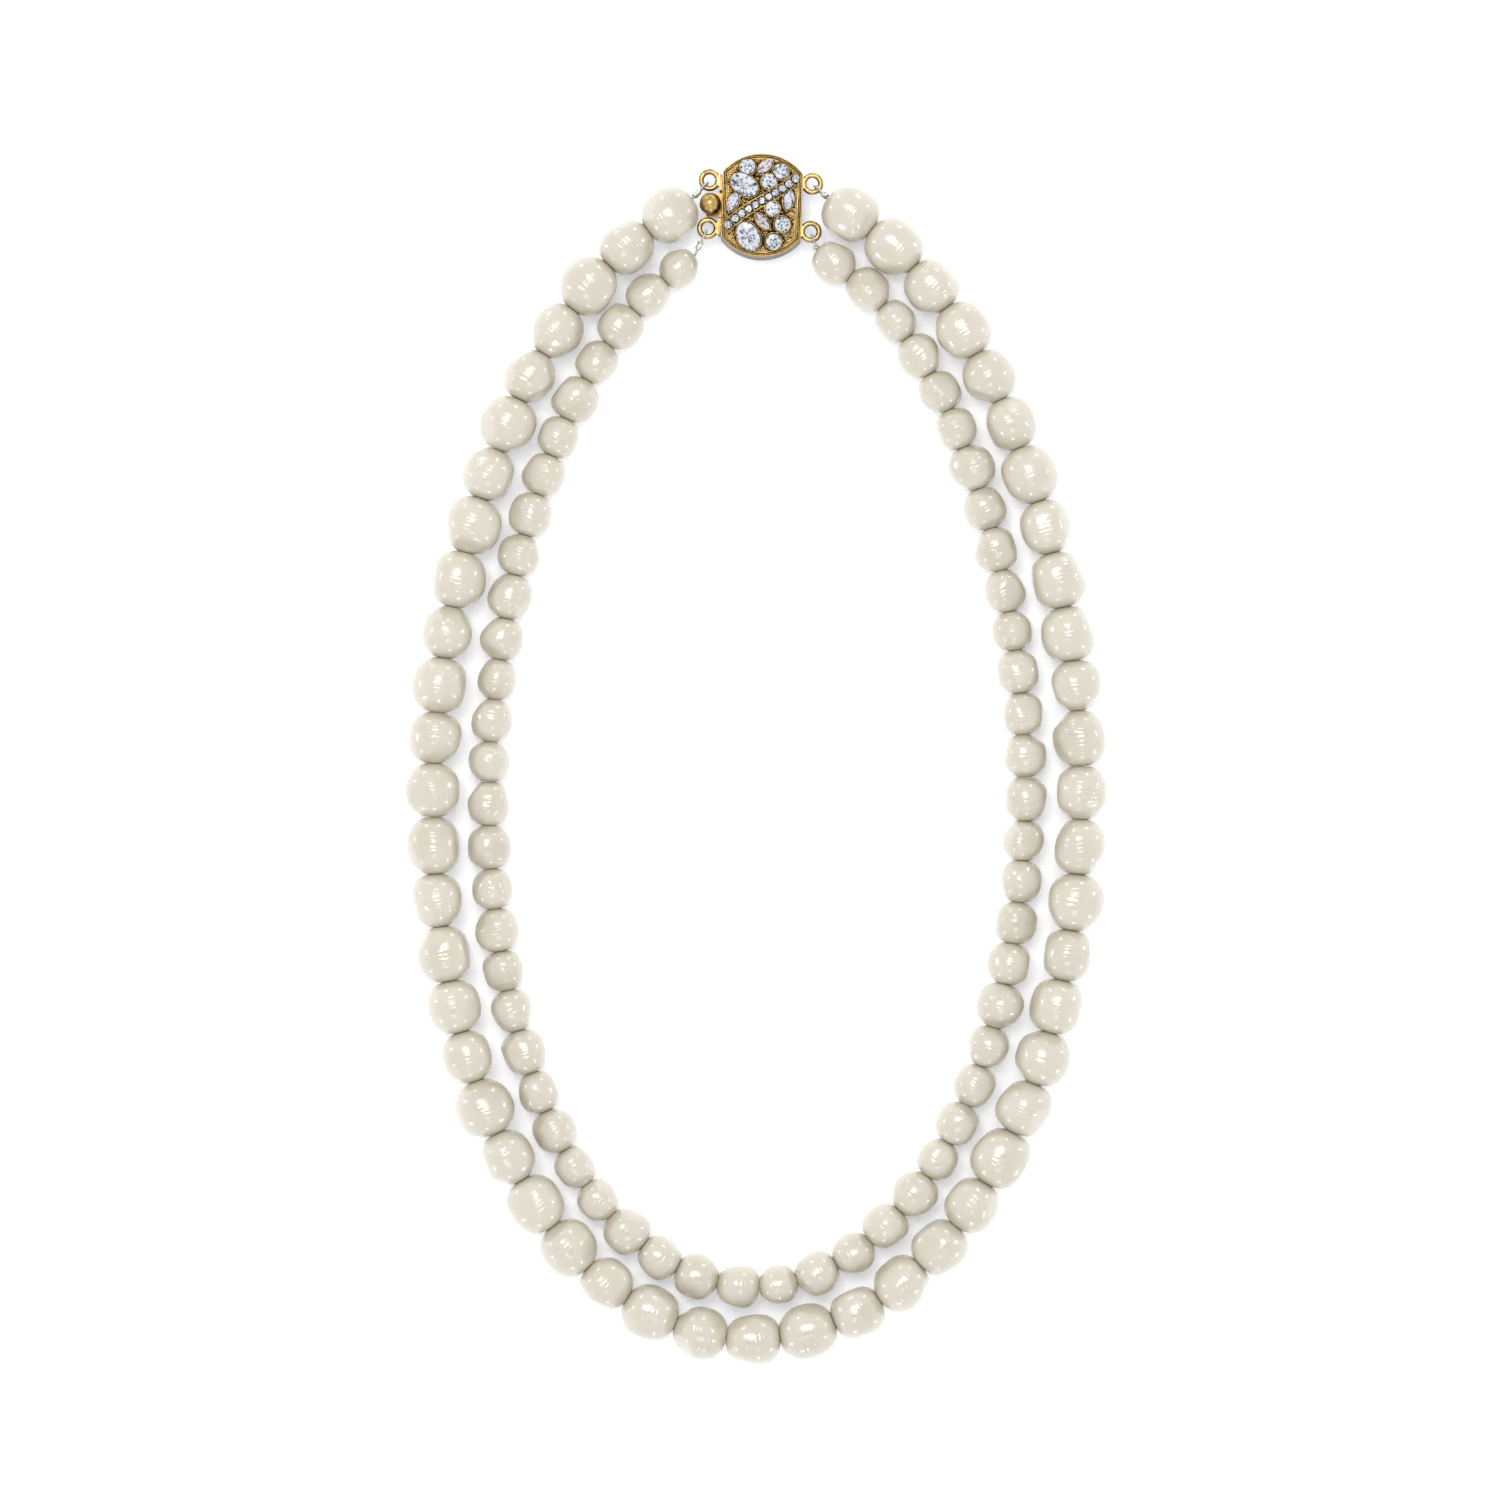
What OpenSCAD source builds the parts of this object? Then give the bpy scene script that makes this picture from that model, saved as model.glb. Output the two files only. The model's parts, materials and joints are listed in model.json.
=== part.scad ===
// Two-strand baroque pearl necklace with a gold, crystal-set box clasp.
// It lies flat and closed on a table: +Z up, +Y towards the clasp, millimetres.

/* [Strands] */
// Pearls in each flexing length of the outer strand, clockwise from the clasp
outer_groups = [6, 6, 7, 7, 6, 6, 7, 6];
// Pearls in each flexing length of the inner strand, clockwise from the clasp
inner_groups = [7, 7, 7, 8, 8, 7, 7, 7];
// Half width of the outer strand's oval, to the pearls' centres
outer_half_width = 59.9; // [58:0.1:62]
// Half length of the outer strand's oval
outer_half_length = 106.8; // [104:0.1:110]
// Half width of the inner strand's oval
inner_half_width = 49.6; // [48:0.1:50]
// Half length of the inner strand's oval
inner_half_length = 97.2; // [95:0.1:98]
// How much narrower both ovals are towards the clasp
egg_shape = 0.065; // [0:0.005:0.1]
// Sideways lean of the far end of both ovals
lean = -1.4; // [-2:0.1:0]
// Centre of both ovals, above the middle of the necklace
oval_centre_y = -0.6; // [-2:0.1:1]
// Height of the outer strand's drill line above the table
outer_height = 5.35; // [5:0.05:5.6]
// Height of the inner strand's drill line above the table
inner_height = 4.2; // [4:0.05:4.5]
// Oval angle at which the outer strand starts and ends
outer_ends = [12.6, 347.5];
// Oval angle at which the inner strand starts and ends
inner_ends = [12.8, 344.9];

/* [Pearls] */
// Free length between neighbouring pearls, at the drill line
pearl_gap = 0.26; // [0.24:0.01:0.3]
// Largest change of a pearl's length from the mean, as a share of it
length_spread = 0.07; // [0:0.01:0.08]
// Radius of the drill hole
drill_r = 0.5; // [0.4:0.05:0.6]
// Radius of the beading wire
wire_r = 0.25; // [0.15:0.01:0.3]

/* [Clasp] */
// Middle of the clasp on the table
clasp_at = [0.2, 102.6];
// Turn of the clasp on the table
clasp_turn = -2; // [-4:0.5:0]
// Radius of the clasp's round outline
clasp_r = 9.55; // [9.5:0.05:9.7]
// Half width between the clasp's two straight sides
clasp_half_width = 7.4; // [7.2:0.1:7.6]
// Height of the clasp's box without its cover
case_height = 5.2; // [5:0.1:5.6]
// Thickness of the box's floor and walls
case_wall = 0.9; // [0.8:0.05:1]
// Height of the domed cover over its own edge
dome_rise = 1.9; // [1.5:0.1:2.2]
// Width of the raised rim around the cover
rim_width = 0.55; // [0.5:0.05:0.6]
// Height of that rim over the box
rim_height = 0.75; // [0.5:0.05:1]

/* [Rings] */
// Radius of a strand ring, to the middle of its rod
ring_r = 1.55; // [1.5:0.05:1.6]
// Radius of the ring's rod
ring_rod_r = 0.5; // [0.45:0.05:0.5]
// Distance of both pairs of rings from the clasp's cross line
ring_y = 4.45; // [4.4:0.05:4.6]
// Middle of the rings cast on the box
lug_x = 9.2; // [9.2:0.05:9.4]
// Middle of the rings on the tongue
tongue_ring_x = -9.85; // [-10:0.05:-9.8]
// Height of all four rings' middles above the table
ring_height = 4.4; // [4.2:0.05:4.6]

/* [Tongue] */
// Half width of the tongue in its slot
tongue_half_width = 3.1; // [2.9:0.05:3.1]
// Free space on each side of the tongue in its slot
slot_side_gap = 0.45; // [0.4:0.05:0.5]
// How far past the clasp's middle the tongue's fold reaches
tongue_tip_x = 1.2; // [0.5:0.1:2]
// Sheet thickness of the tongue and its spring leaf
sheet = 0.45; // [0.4:0.05:0.45]
// Height of the slot's mouth above the table
mouth_top = 4.1; // [4:0.05:4.2]
// Radius of the release ball
ball_r = 2; // [1.8:0.1:2]
// Middle of the release ball
ball_x = -9.55; // [-9.8:0.05:-9.5]

/* [Stones] */
// Diameter of the round crystals
round_d = 2.7; // [2.4:0.1:2.8]
// Length and width of the two large oval crystals
oval_size = [5.4, 3.8];
// Length and width of the four pointed crystals
navette_size = [3.7, 1.75];
// Diameter of the small crystals in the wavy row
pave_d = 1.25; // [1:0.05:1.3]
// How many small crystals the wavy row holds
pave_count = 11; // [9:1:12]

/* [Hidden] */
$fn = 48;
tiny = 0.05;
big = 60;
table_step = 0.5;

// The one node to build, or "all"

// ---- strand geometry ----

// A strand is [half width, half length, start and end angle, height, groups].
outer = [outer_half_width, outer_half_length, outer_ends, outer_height, outer_groups];
inner = [inner_half_width, inner_half_length, inner_ends, inner_height, inner_groups];

// Sum of a list's first n entries
function sum_to(v, n) = n <= 0 ? 0 : v[n - 1] + sum_to(v, n - 1);

// Point of a strand's oval at an angle measured clockwise from the clasp
function oval_point(strand, angle) = [
    strand[0] * sin(angle) * (1 - egg_shape * cos(angle)) + lean * (1 - cos(angle)) / 2,
    oval_centre_y + strand[1] * cos(angle),
    strand[3]
];

// Points along the strand, close enough together to measure it
function route(strand) = [for (angle = [strand[2][0]:table_step:strand[2][1]]) oval_point(strand, angle)];

// Distance along the route to each of its points
function distances(points) = [
    for (i = 0, d = 0; i < len(points); i = i + 1, d = i < len(points) ? d + norm(points[i] - points[i - 1]) : d) d
];

// Relative length of pearl number k, which varies without a visible pattern as natural pearls do
coarse_turn = 137.5;
fine_turn = 61;
fine_start = 20;
coarse_part = 0.6;
function pearl_share(k) = 1 + length_spread * (
    coarse_part * sin(coarse_turn * k) + (1 - coarse_part) * sin(fine_turn * k + fine_start)
);

// Points where neighbouring pearls meet: pearl k lies between points k and k + 1
function junctions(strand) =
    let (
        count = sum_to(strand[4], len(strand[4])),
        shares = [for (k = [0:count - 1]) pearl_share(k)],
        ends = [for (k = 0, s = 0; k <= count; s = s + (k < count ? shares[k] : 0), k = k + 1) s],
        points = route(strand),
        d = distances(points),
        x_at = [for (i = [0:len(d) - 1]) [d[i], points[i][0]]],
        y_at = [for (i = [0:len(d) - 1]) [d[i], points[i][1]]],
        scale_to_route = d[len(d) - 1] / ends[count]
    )
    [for (s = ends) [lookup(s * scale_to_route, x_at), lookup(s * scale_to_route, y_at), strand[3]]];

outer_joints = junctions(outer);
inner_joints = junctions(inner);

// Number of pearls before a group
function first_pearl(groups, group) = sum_to(groups, group - 1);

// Points of one group's stretch of a strand
function stretch(points, groups, group) = [
    for (k = [first_pearl(groups, group):first_pearl(groups, group) + groups[group - 1]]) points[k]
];

// Mean distance between neighbouring points

function unit(v) = v / norm(v);

// ---- shapes used many times ----

// Places its children with their +Z along the line from one point to another
module along(from, to) {
    d = to - from;
    translate(from) rotate([0, acos(d[2] / norm(d)), atan2(d[1], d[0])]) children();
}

// A drilled pearl between two points: a ball with a straight hole through it
module pearl(from, to) {
    half = (norm(to - from) - pearl_gap) / 2;
    along((from + to) / 2, to)
        rotate_extrude()
            intersection() {
                circle(r = half);
                translate([drill_r, -half]) square([half, 2 * half]);
            }
}

module pearl_group(points, groups, group) {
    p = stretch(points, groups, group);
    color("oldlace")
        for (k = [0:len(p) - 2]) pearl(p[k], p[k + 1]);
}

// The wire through one group: a straight piece in each pearl, joined by a short thicker bead at
// each bend between pearls. It ends just short of the points where the strand flexes.
flex_gap = 0.1;
bend_gap = 0.06;
bead_half = 0.11;
bead_r = wire_r + 0.08;
module wire_group(points, groups, group) {
    p = stretch(points, groups, group);
    last = len(p) - 1;
    color("silver") {
        for (k = [0:last - 1]) {
            way = unit(p[k + 1] - p[k]);
            from = p[k] + (k == 0 ? flex_gap : bend_gap) * way;
            to = p[k + 1] - (k == last - 1 ? flex_gap : bend_gap) * way;
            along(from, to) cylinder(h = norm(to - from), r = wire_r, $fn = 24);
        }
        for (k = [1:last - 1]) {
            mean_way = unit(unit(p[k + 1] - p[k]) + unit(p[k] - p[k - 1]));
            along(p[k] - bead_half * mean_way, p[k] + bead_half * mean_way)
                cylinder(h = 2 * bead_half, r = bead_r, $fn = 24);
        }
    }
}

// ---- strand ends ----

// A point given in the clasp's own frame
function clasp_point(x, y, z) = [
    clasp_at[0] + x * cos(clasp_turn) - y * sin(clasp_turn),
    clasp_at[1] + x * sin(clasp_turn) + y * cos(clasp_turn),
    z
];

outer_right = clasp_point(lug_x, ring_y, ring_height);
inner_right = clasp_point(lug_x, -ring_y, ring_height);
outer_left = clasp_point(tongue_ring_x, ring_y, ring_height);
inner_left = clasp_point(tongue_ring_x, -ring_y, ring_height);

guard_loop_r = 0.95;
guard_r = 0.28;
guard_overlap = 0.04;
guard_end_gap = 0.06;
crimp_r = 0.65;
crimp_bore_r = 0.32;
crimp_edge = 0.15;
crimp_setback = 0.35;
crimp_end_gap = 0.3;
crimp_longest = 1.5;
loop_reach = ring_r + guard_loop_r;

// The guarded loop around a ring's rod and the two legs that leave it as one
module guard(ring, pearl_face) {
    flat_way = [pearl_face[0] - ring[0], pearl_face[1] - ring[1], 0];
    way = pearl_face - ring;
    loop_middle = ring + ring_r * flat_way / norm(flat_way);
    color("silver") {
        translate(loop_middle)
            rotate([90, 0, atan2(flat_way[1], flat_way[0])])
                rotate_extrude() translate([guard_loop_r, 0]) circle(r = guard_r, $fn = 24);
        along(ring + (loop_reach - guard_overlap) * unit(way), pearl_face)
            cylinder(h = norm(way) - loop_reach + guard_overlap - guard_end_gap, r = guard_r, $fn = 24);
    }
}

// The barrel crimp that closes the loop, beside the first pearl
module crimp(ring, pearl_face) {
    near = ring + (loop_reach + crimp_setback) * unit(pearl_face - ring);
    crimp_length = min(norm(pearl_face - near) - crimp_end_gap, crimp_longest);
    color("gainsboro")
        along(near, pearl_face)
            difference() {
                union() {
                    cylinder(h = crimp_edge, r1 = crimp_r - crimp_edge, r2 = crimp_r);
                    translate([0, 0, crimp_edge]) cylinder(h = crimp_length - 2 * crimp_edge, r = crimp_r);
                    translate([0, 0, crimp_length - crimp_edge])
                        cylinder(h = crimp_edge, r1 = crimp_r, r2 = crimp_r - crimp_edge);
                }
                translate([0, 0, -1]) cylinder(h = crimp_length + 2, r = crimp_bore_r);
            }
}

// ---- clasp ----

// Places its children on the table in the clasp's own frame
module in_clasp() {
    translate([clasp_at[0], clasp_at[1], 0]) rotate(clasp_turn) children();
}

// The clasp's outline, moved inwards by a distance
module clasp_outline(inset) {
    intersection() {
        circle(r = clasp_r - inset, $fn = 180);
        square([2 * (clasp_half_width - inset), big], center = true);
    }
}

slot_half_width = tongue_half_width + slot_side_gap;

// The box, open at the top, with the tongue's slot in its left wall
module case_body() {
    color("darkgoldenrod") in_clasp()
        difference() {
            linear_extrude(case_height) clasp_outline(0);
            translate([0, 0, case_wall]) linear_extrude(big) clasp_outline(case_wall);
            translate([-big, -slot_half_width, case_wall])
                cube([big, 2 * slot_half_width, mouth_top - case_wall]);
        }
}

// The raised border around the cover
module case_rim() {
    color("goldenrod") in_clasp()
        translate([0, 0, case_height])
            difference() {
                linear_extrude(rim_height) clasp_outline(0);
                translate([0, 0, -1]) linear_extrude(big) clasp_outline(rim_width);
            }
}

cover_r = clasp_r - rim_width;
dome_edge = 0.35;
dome_r = (cover_r * cover_r + dome_rise * dome_rise) / (2 * dome_rise);
dome_middle = case_height + dome_edge + dome_rise - dome_r;

// Places its children on the dome with +Z outwards and +X turned to an angle seen from above
module on_dome(place, turn) {
    from_middle = norm(place);
    bearing = atan2(place[1], place[0]);
    translate([0, 0, dome_middle])
        rotate([0, asin(from_middle / dome_r), bearing])
            translate([0, 0, dome_r])
                rotate(turn - bearing)
                    children();
}

// Large stones as [place on the dome, turn]
round_size = [round_d, round_d];
round_stones = [
    [[-2.88, 6.9], 0], [[3.3, 6.2], 0], [[1.1, 4.2], 0], [[2, -0.8], 0], [[3.9, -3.6], 0], [[2.4, -6.8], 0]
];
navette_stones = [[[0.4, 7.1], 49], [[-5.35, 0.2], 68], [[4.9, 0.9], 80], [[0.2, -3.2], -45]];
oval_stones = [[[-3.35, 3.42], -35], [[-2.3, -6], -62]];

// Wavy row of small crystals from the lower left to the upper right
pave_reach = 6.05;
function pave_y(x) = 0.55 + 0.62 * x + 0.003 * x * x * x;
pave_places = [
    for (k = [0:pave_count - 1]) let (x = -pave_reach + 2 * pave_reach * k / (pave_count - 1)) [x, pave_y(x)]
];

setting_depth = 0.9;
setting_height = 0.4;
setting_wall = 0.25;
stone_gap = 0.03;
crown_height = 0.3;
table_share = 0.6;
outline_step = 12;

// Outline of a stone: an ellipse, or pointed at both ends
module stone_outline(size, pointed, grow) {
    polygon([
        for (a = [0:outline_step:360 - outline_step]) let (s = sin(a)) [
            (size[0] / 2 + grow) * cos(a),
            (size[1] / 2 + grow) * s * (pointed ? abs(s) : 1)
        ]
    ]);
}

// The raised wall around a stone
module setting_wall_of(size, pointed) {
    translate([0, 0, -setting_depth])
        linear_extrude(setting_depth + setting_height) stone_outline(size, pointed, setting_wall);
}

// The hollow that a stone sits in
module setting_seat_of(size, pointed) {
    translate([0, 0, -setting_depth]) linear_extrude(big) stone_outline(size, pointed, stone_gap);
}

// A straight-sided stone with a sloping crown around its flat table
module stone(size, pointed) {
    translate([0, 0, tiny - setting_depth])
        linear_extrude(setting_depth + setting_height - tiny) stone_outline(size, pointed, 0);
    translate([0, 0, setting_height])
        linear_extrude(crown_height, scale = table_share) stone_outline(size, pointed, 0);
}

module round_stone(d) {
    translate([0, 0, tiny - setting_depth]) cylinder(h = setting_depth + setting_height - tiny, d = d);
    translate([0, 0, setting_height]) cylinder(h = crown_height, d1 = d, d2 = table_share * d);
}

module all_seats() {
    for (s = round_stones) on_dome(s[0], s[1]) setting_seat_of(round_size, false);
    for (s = navette_stones) on_dome(s[0], s[1]) setting_seat_of(navette_size, true);
    for (s = oval_stones) on_dome(s[0], s[1]) setting_seat_of(oval_size, false);
    for (p = pave_places) on_dome(p, 0) translate([0, 0, -setting_depth])
        cylinder(h = big, d = pave_d + 2 * stone_gap);
}

// The domed cover with its settings
module case_top() {
    color("goldenrod") in_clasp()
        difference() {
            union() {
                intersection() {
                    translate([0, 0, case_height]) linear_extrude(case_height) clasp_outline(rim_width + tiny);
                    translate([0, 0, dome_middle]) sphere(r = dome_r, $fn = 360);
                }
                intersection() {
                    translate([0, 0, case_height]) linear_extrude(case_height) clasp_outline(rim_width + tiny);
                    union() {
                        for (s = round_stones) on_dome(s[0], s[1]) setting_wall_of(round_size, false);
                        for (s = navette_stones) on_dome(s[0], s[1]) setting_wall_of(navette_size, true);
                        for (s = oval_stones) on_dome(s[0], s[1]) setting_wall_of(oval_size, false);
                    }
                }
            }
            all_seats();
        }
}

module oval_stone(number) {
    s = oval_stones[number];
    color("aliceblue") in_clasp() on_dome(s[0], s[1]) stone(oval_size, false);
}

module navette_stone(number) {
    s = navette_stones[number];
    color("aliceblue") in_clasp() on_dome(s[0], s[1]) stone(navette_size, true);
}

module round_crystals() {
    color("aliceblue") in_clasp()
        for (s = round_stones) on_dome(s[0], s[1]) round_stone(round_d);
}

module pave_crystals() {
    color("aliceblue") in_clasp()
        for (p = pave_places) on_dome(p, 0) round_stone(pave_d);
}

// A strand ring, lying flat
module ring_body(x, y) {
    translate([x, y, ring_height])
        rotate_extrude() translate([ring_r, 0]) circle(r = ring_rod_r, $fn = 24);
}

root_width = 2;

// A ring cast on the right side of the box, with its short root
module case_lug(side) {
    root_length = lug_x - ring_r - clasp_half_width;
    color("goldenrod") in_clasp()
        difference() {
            union() {
                ring_body(lug_x, side * ring_y);
                translate([clasp_half_width, side * ring_y - root_width / 2, ring_height - ring_rod_r])
                    cube([root_length, root_width, 2 * ring_rod_r]);
            }
            translate([clasp_half_width - big, -big / 2, 0]) cube([big, big, big]);
        }
}

// ---- tongue ----

floor_gap = 0.25;
bar_gap = 0.1;
plate_bottom = case_wall + floor_gap;
bar_outside = -(clasp_half_width + bar_gap + sheet);
bar_top = 2.3;
ear_inside = 2.6;
ear_outside = 5.5;
ear_over_ring = 0.1;
ear_top = ring_height + ring_rod_r + ear_over_ring;
fold_outer_r = 0.75;
fold_z = plate_bottom + fold_outer_r;

// Lower leaf of the folded tongue, with the bar outside the box that carries the two rings
module tongue_plate() {
    color("goldenrod") in_clasp() {
        translate([bar_outside, -tongue_half_width, plate_bottom])
            cube([tongue_tip_x - bar_outside, 2 * tongue_half_width, sheet]);
        translate([bar_outside, -ear_outside, plate_bottom])
            cube([sheet, 2 * ear_outside, bar_top - plate_bottom]);
        for (side = [-1, 1])
            translate([bar_outside, side > 0 ? ear_inside : -ear_outside, plate_bottom])
                cube([sheet, ear_outside - ear_inside, ear_top - plate_bottom]);
        translate([tongue_tip_x, 0, fold_z])
            rotate([90, 0, 0])
                translate([0, 0, -tongue_half_width])
                    intersection() {
                        difference() {
                            cylinder(h = 2 * tongue_half_width, r = fold_outer_r);
                            translate([0, 0, -1]) cylinder(h = big, r = fold_outer_r - sheet);
                        }
                        translate([0, -big / 2, 0]) cube([big, big, big]);
                    }
    }
}

leaf_half_width = 2.2;
leaf_pad_bottom = 2.95;
leaf_pad_x = -10.3;
leaf_rise_x = -5;
catch_drop = 0.1;
catch_top = mouth_top - catch_drop;
catch_back = 0.05;
catch_length = 0.2;

// Springy upper leaf from the fold to the pad under the ball, with the catch behind the mouth
module release_leaf() {
    root = tongue_tip_x - tiny;
    root_bottom = fold_z + fold_outer_r - sheet;
    wall_inside = -(clasp_half_width - case_wall);
    color("goldenrod") in_clasp()
        rotate([90, 0, 0])
            translate([0, 0, -leaf_half_width])
                linear_extrude(2 * leaf_half_width)
                    polygon([
                        [root, root_bottom],
                        [root, root_bottom + sheet],
                        [leaf_rise_x, leaf_pad_bottom + sheet],
                        [wall_inside + catch_length, catch_top],
                        [wall_inside + catch_back, catch_top],
                        [wall_inside + catch_back, leaf_pad_bottom + sheet],
                        [leaf_pad_x, leaf_pad_bottom + sheet],
                        [leaf_pad_x, leaf_pad_bottom],
                        [leaf_rise_x, leaf_pad_bottom]
                    ]);
}

ball_flat = leaf_pad_bottom + sheet;
ball_sink = 0.15;

// The ball that the finger presses, flat where it is soldered to the leaf
module release_ball() {
    color("gold") in_clasp()
        intersection() {
            translate([ball_x, 0, ball_flat + ball_r - ball_sink]) sphere(r = ball_r, $fn = 96);
            translate([-big, -big / 2, ball_flat]) cube([big, big, big]);
        }
}

// A strand ring soldered to the outside of the tongue's bar
module tongue_ring(side) {
    root_length = bar_outside - (tongue_ring_x + ring_r);
    color("goldenrod") in_clasp()
        difference() {
            union() {
                ring_body(tongue_ring_x, side * ring_y);
                translate([bar_outside - root_length, side * ring_y - root_width / 2, ring_height - ring_rod_r])
                    cube([root_length, root_width, 2 * ring_rod_r]);
            }
            translate([bar_outside, -big / 2, 0]) cube([big, big, big]);
        }
}

// ---- nodes ----

outer_first = outer_joints[0];
outer_last = outer_joints[len(outer_joints) - 1];
inner_first = inner_joints[0];
inner_last = inner_joints[len(inner_joints) - 1];

for (g = [1:len(outer_groups)]) {
    pearl_group(outer_joints, outer_groups, g);
    wire_group(outer_joints, outer_groups, g);
}
for (g = [1:len(inner_groups)]) {
    pearl_group(inner_joints, inner_groups, g);
    wire_group(inner_joints, inner_groups, g);
}
guard(outer_right, outer_first);  // guard_outer_right
guard(inner_right, inner_first);  // guard_inner_right
guard(outer_left, outer_last);  // guard_outer_left
guard(inner_left, inner_last);  // guard_inner_left
crimp(outer_right, outer_first);  // crimp_outer_right
crimp(inner_right, inner_first);  // crimp_inner_right
crimp(outer_left, outer_last);  // crimp_outer_left
crimp(inner_left, inner_last);  // crimp_inner_left
case_body();
case_rim();
case_top();
case_lug(1);  // lug_outer
case_lug(-1);  // lug_inner
oval_stone(0);  // oval_upper
oval_stone(1);  // oval_lower
navette_stone(0);  // navette_1
navette_stone(1);  // navette_2
navette_stone(2);  // navette_3
navette_stone(3);  // navette_4
round_crystals();
pave_crystals();
tongue_plate();
tongue_ring(1);  // tongue_ring_outer
tongue_ring(-1);  // tongue_ring_inner
release_leaf();
release_ball();
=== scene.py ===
import json
import math
import random
from collections import namedtuple

import bpy
import numpy as np
from mathutils import Matrix, Vector


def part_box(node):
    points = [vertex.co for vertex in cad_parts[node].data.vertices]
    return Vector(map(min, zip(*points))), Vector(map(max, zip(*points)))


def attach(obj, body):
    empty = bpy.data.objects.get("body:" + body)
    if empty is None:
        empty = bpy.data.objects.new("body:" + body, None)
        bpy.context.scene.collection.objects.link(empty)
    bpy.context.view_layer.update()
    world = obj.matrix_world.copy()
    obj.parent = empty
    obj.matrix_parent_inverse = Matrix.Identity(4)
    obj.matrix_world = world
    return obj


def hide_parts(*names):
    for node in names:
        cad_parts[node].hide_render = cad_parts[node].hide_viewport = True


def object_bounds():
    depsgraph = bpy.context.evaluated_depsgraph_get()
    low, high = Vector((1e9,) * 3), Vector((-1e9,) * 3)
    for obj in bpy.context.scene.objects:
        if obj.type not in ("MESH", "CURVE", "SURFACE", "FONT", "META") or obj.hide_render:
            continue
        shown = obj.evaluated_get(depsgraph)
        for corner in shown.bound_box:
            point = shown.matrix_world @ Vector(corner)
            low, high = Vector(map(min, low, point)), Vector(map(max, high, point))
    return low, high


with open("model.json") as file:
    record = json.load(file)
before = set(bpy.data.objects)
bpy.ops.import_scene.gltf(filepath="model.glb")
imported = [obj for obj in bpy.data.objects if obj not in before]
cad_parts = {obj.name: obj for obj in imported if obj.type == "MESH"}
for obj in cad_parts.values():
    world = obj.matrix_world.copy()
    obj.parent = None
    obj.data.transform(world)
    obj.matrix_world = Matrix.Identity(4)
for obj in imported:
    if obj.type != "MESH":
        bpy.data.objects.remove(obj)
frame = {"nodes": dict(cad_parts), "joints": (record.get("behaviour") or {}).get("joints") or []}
cad_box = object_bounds()

MM = 0.001
GROUPS = range(1, 9)  # each strand is cut into groups of pearls that move as one body

# ---------------- frame facts

case_low, case_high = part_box("case_body")
CLASP = Vector(((case_low.x + case_high.x) / 2, (case_low.y + case_high.y) / 2, 0))
press_axis = next(j["axis"] for j in frame["joints"] if j["name"] == "release_press")
CLASP_TURN = math.atan2(press_axis[0], -press_axis[1])
CLASP_FRAME = Matrix.Translation(CLASP) @ Matrix.Rotation(CLASP_TURN, 4, "Z")
CLASP_INVERSE = CLASP_FRAME.inverted()


def node_arrays(node):
    """Corner points and triangles of a CAD node, in metres."""
    mesh = frame["nodes"][node].data
    mesh.calc_loop_triangles()
    points = np.zeros(len(mesh.vertices) * 3)
    mesh.vertices.foreach_get("co", points)
    triangles = np.zeros(len(mesh.loop_triangles) * 3, dtype=np.int64)
    mesh.loop_triangles.foreach_get("vertices", triangles)
    return points.reshape(-1, 3), triangles.reshape(-1, 3)


def islands(node):
    """The node's separate surfaces, as (area-weighted middle, points)."""
    points, triangles = node_arrays(node)
    keys = {}
    same = np.array([keys.setdefault(tuple(k), len(keys)) for k in np.round(points * 1e7).astype(np.int64)])
    parent = list(range(len(keys)))

    def top(i):
        while parent[i] != i:
            parent[i] = parent[parent[i]]
            i = parent[i]
        return i

    for a, b, c in same[triangles]:
        parent[top(a)] = top(b)
        parent[top(b)] = top(c)
    owner = np.array([top(i) for i in same])
    found = []
    for label in dict.fromkeys(owner.tolist()):
        mine = triangles[owner[triangles[:, 0]] == label]
        if not len(mine):
            continue
        a, b, c = (points[mine[:, n]] for n in range(3))
        area = np.linalg.norm(np.cross(b - a, c - a), axis=1)
        middle = ((a + b + c) / 3 * area[:, None]).sum(0) / area.sum()
        found.append((middle, points[owner == label]))
    return found


def solids_of(node, near):
    """The node's solids, as (middle, points): surfaces with almost the same middle belong to one solid."""
    gathered = []
    for middle, points in islands(node):
        same = [g for g in gathered if np.linalg.norm(g[0] - middle) < near]
        if same:
            same[0][1].append(points)
        else:
            gathered.append((middle, [points]))
    return [(middle, np.vstack(pieces)) for middle, pieces in gathered]


# ---------------- mesh helpers


def make_mesh(name, points, faces, material, smooth_faces=True, values=None):
    """A mesh object from points and faces in metres, with optional named values on its points."""
    mesh = bpy.data.meshes.new(name)
    mesh.from_pydata([tuple(p) for p in points], [], [tuple(int(i) for i in f) for f in faces])
    mesh.polygons.foreach_set("use_smooth", [smooth_faces] * len(mesh.polygons))
    for key, numbers in (values or {}).items():
        layer = mesh.attributes.new(key, "FLOAT", "POINT")
        layer.data.foreach_set("value", np.asarray(numbers, dtype=np.float32))
    mesh.materials.append(material)
    mesh.update()
    mesh.validate()
    piece = bpy.data.objects.new(name, mesh)
    bpy.context.scene.collection.objects.link(piece)
    return piece


def settle(piece, body, node):
    """Puts a piece on the body it rides on and hides the CAD node it replaces."""
    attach(piece, body)
    if node:
        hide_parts(node)


def grid_faces(rows, columns, wrap_rows=False, wrap_columns=True, first=0):
    """Quads of a grid of points stored row by row."""
    faces = []
    for r in range(rows if wrap_rows else rows - 1):
        for c in range(columns if wrap_columns else columns - 1):
            r2, c2 = (r + 1) % rows, (c + 1) % columns
            faces.append((first + r * columns + c, first + r * columns + c2,
                          first + r2 * columns + c2, first + r2 * columns + c))
    return faces


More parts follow.
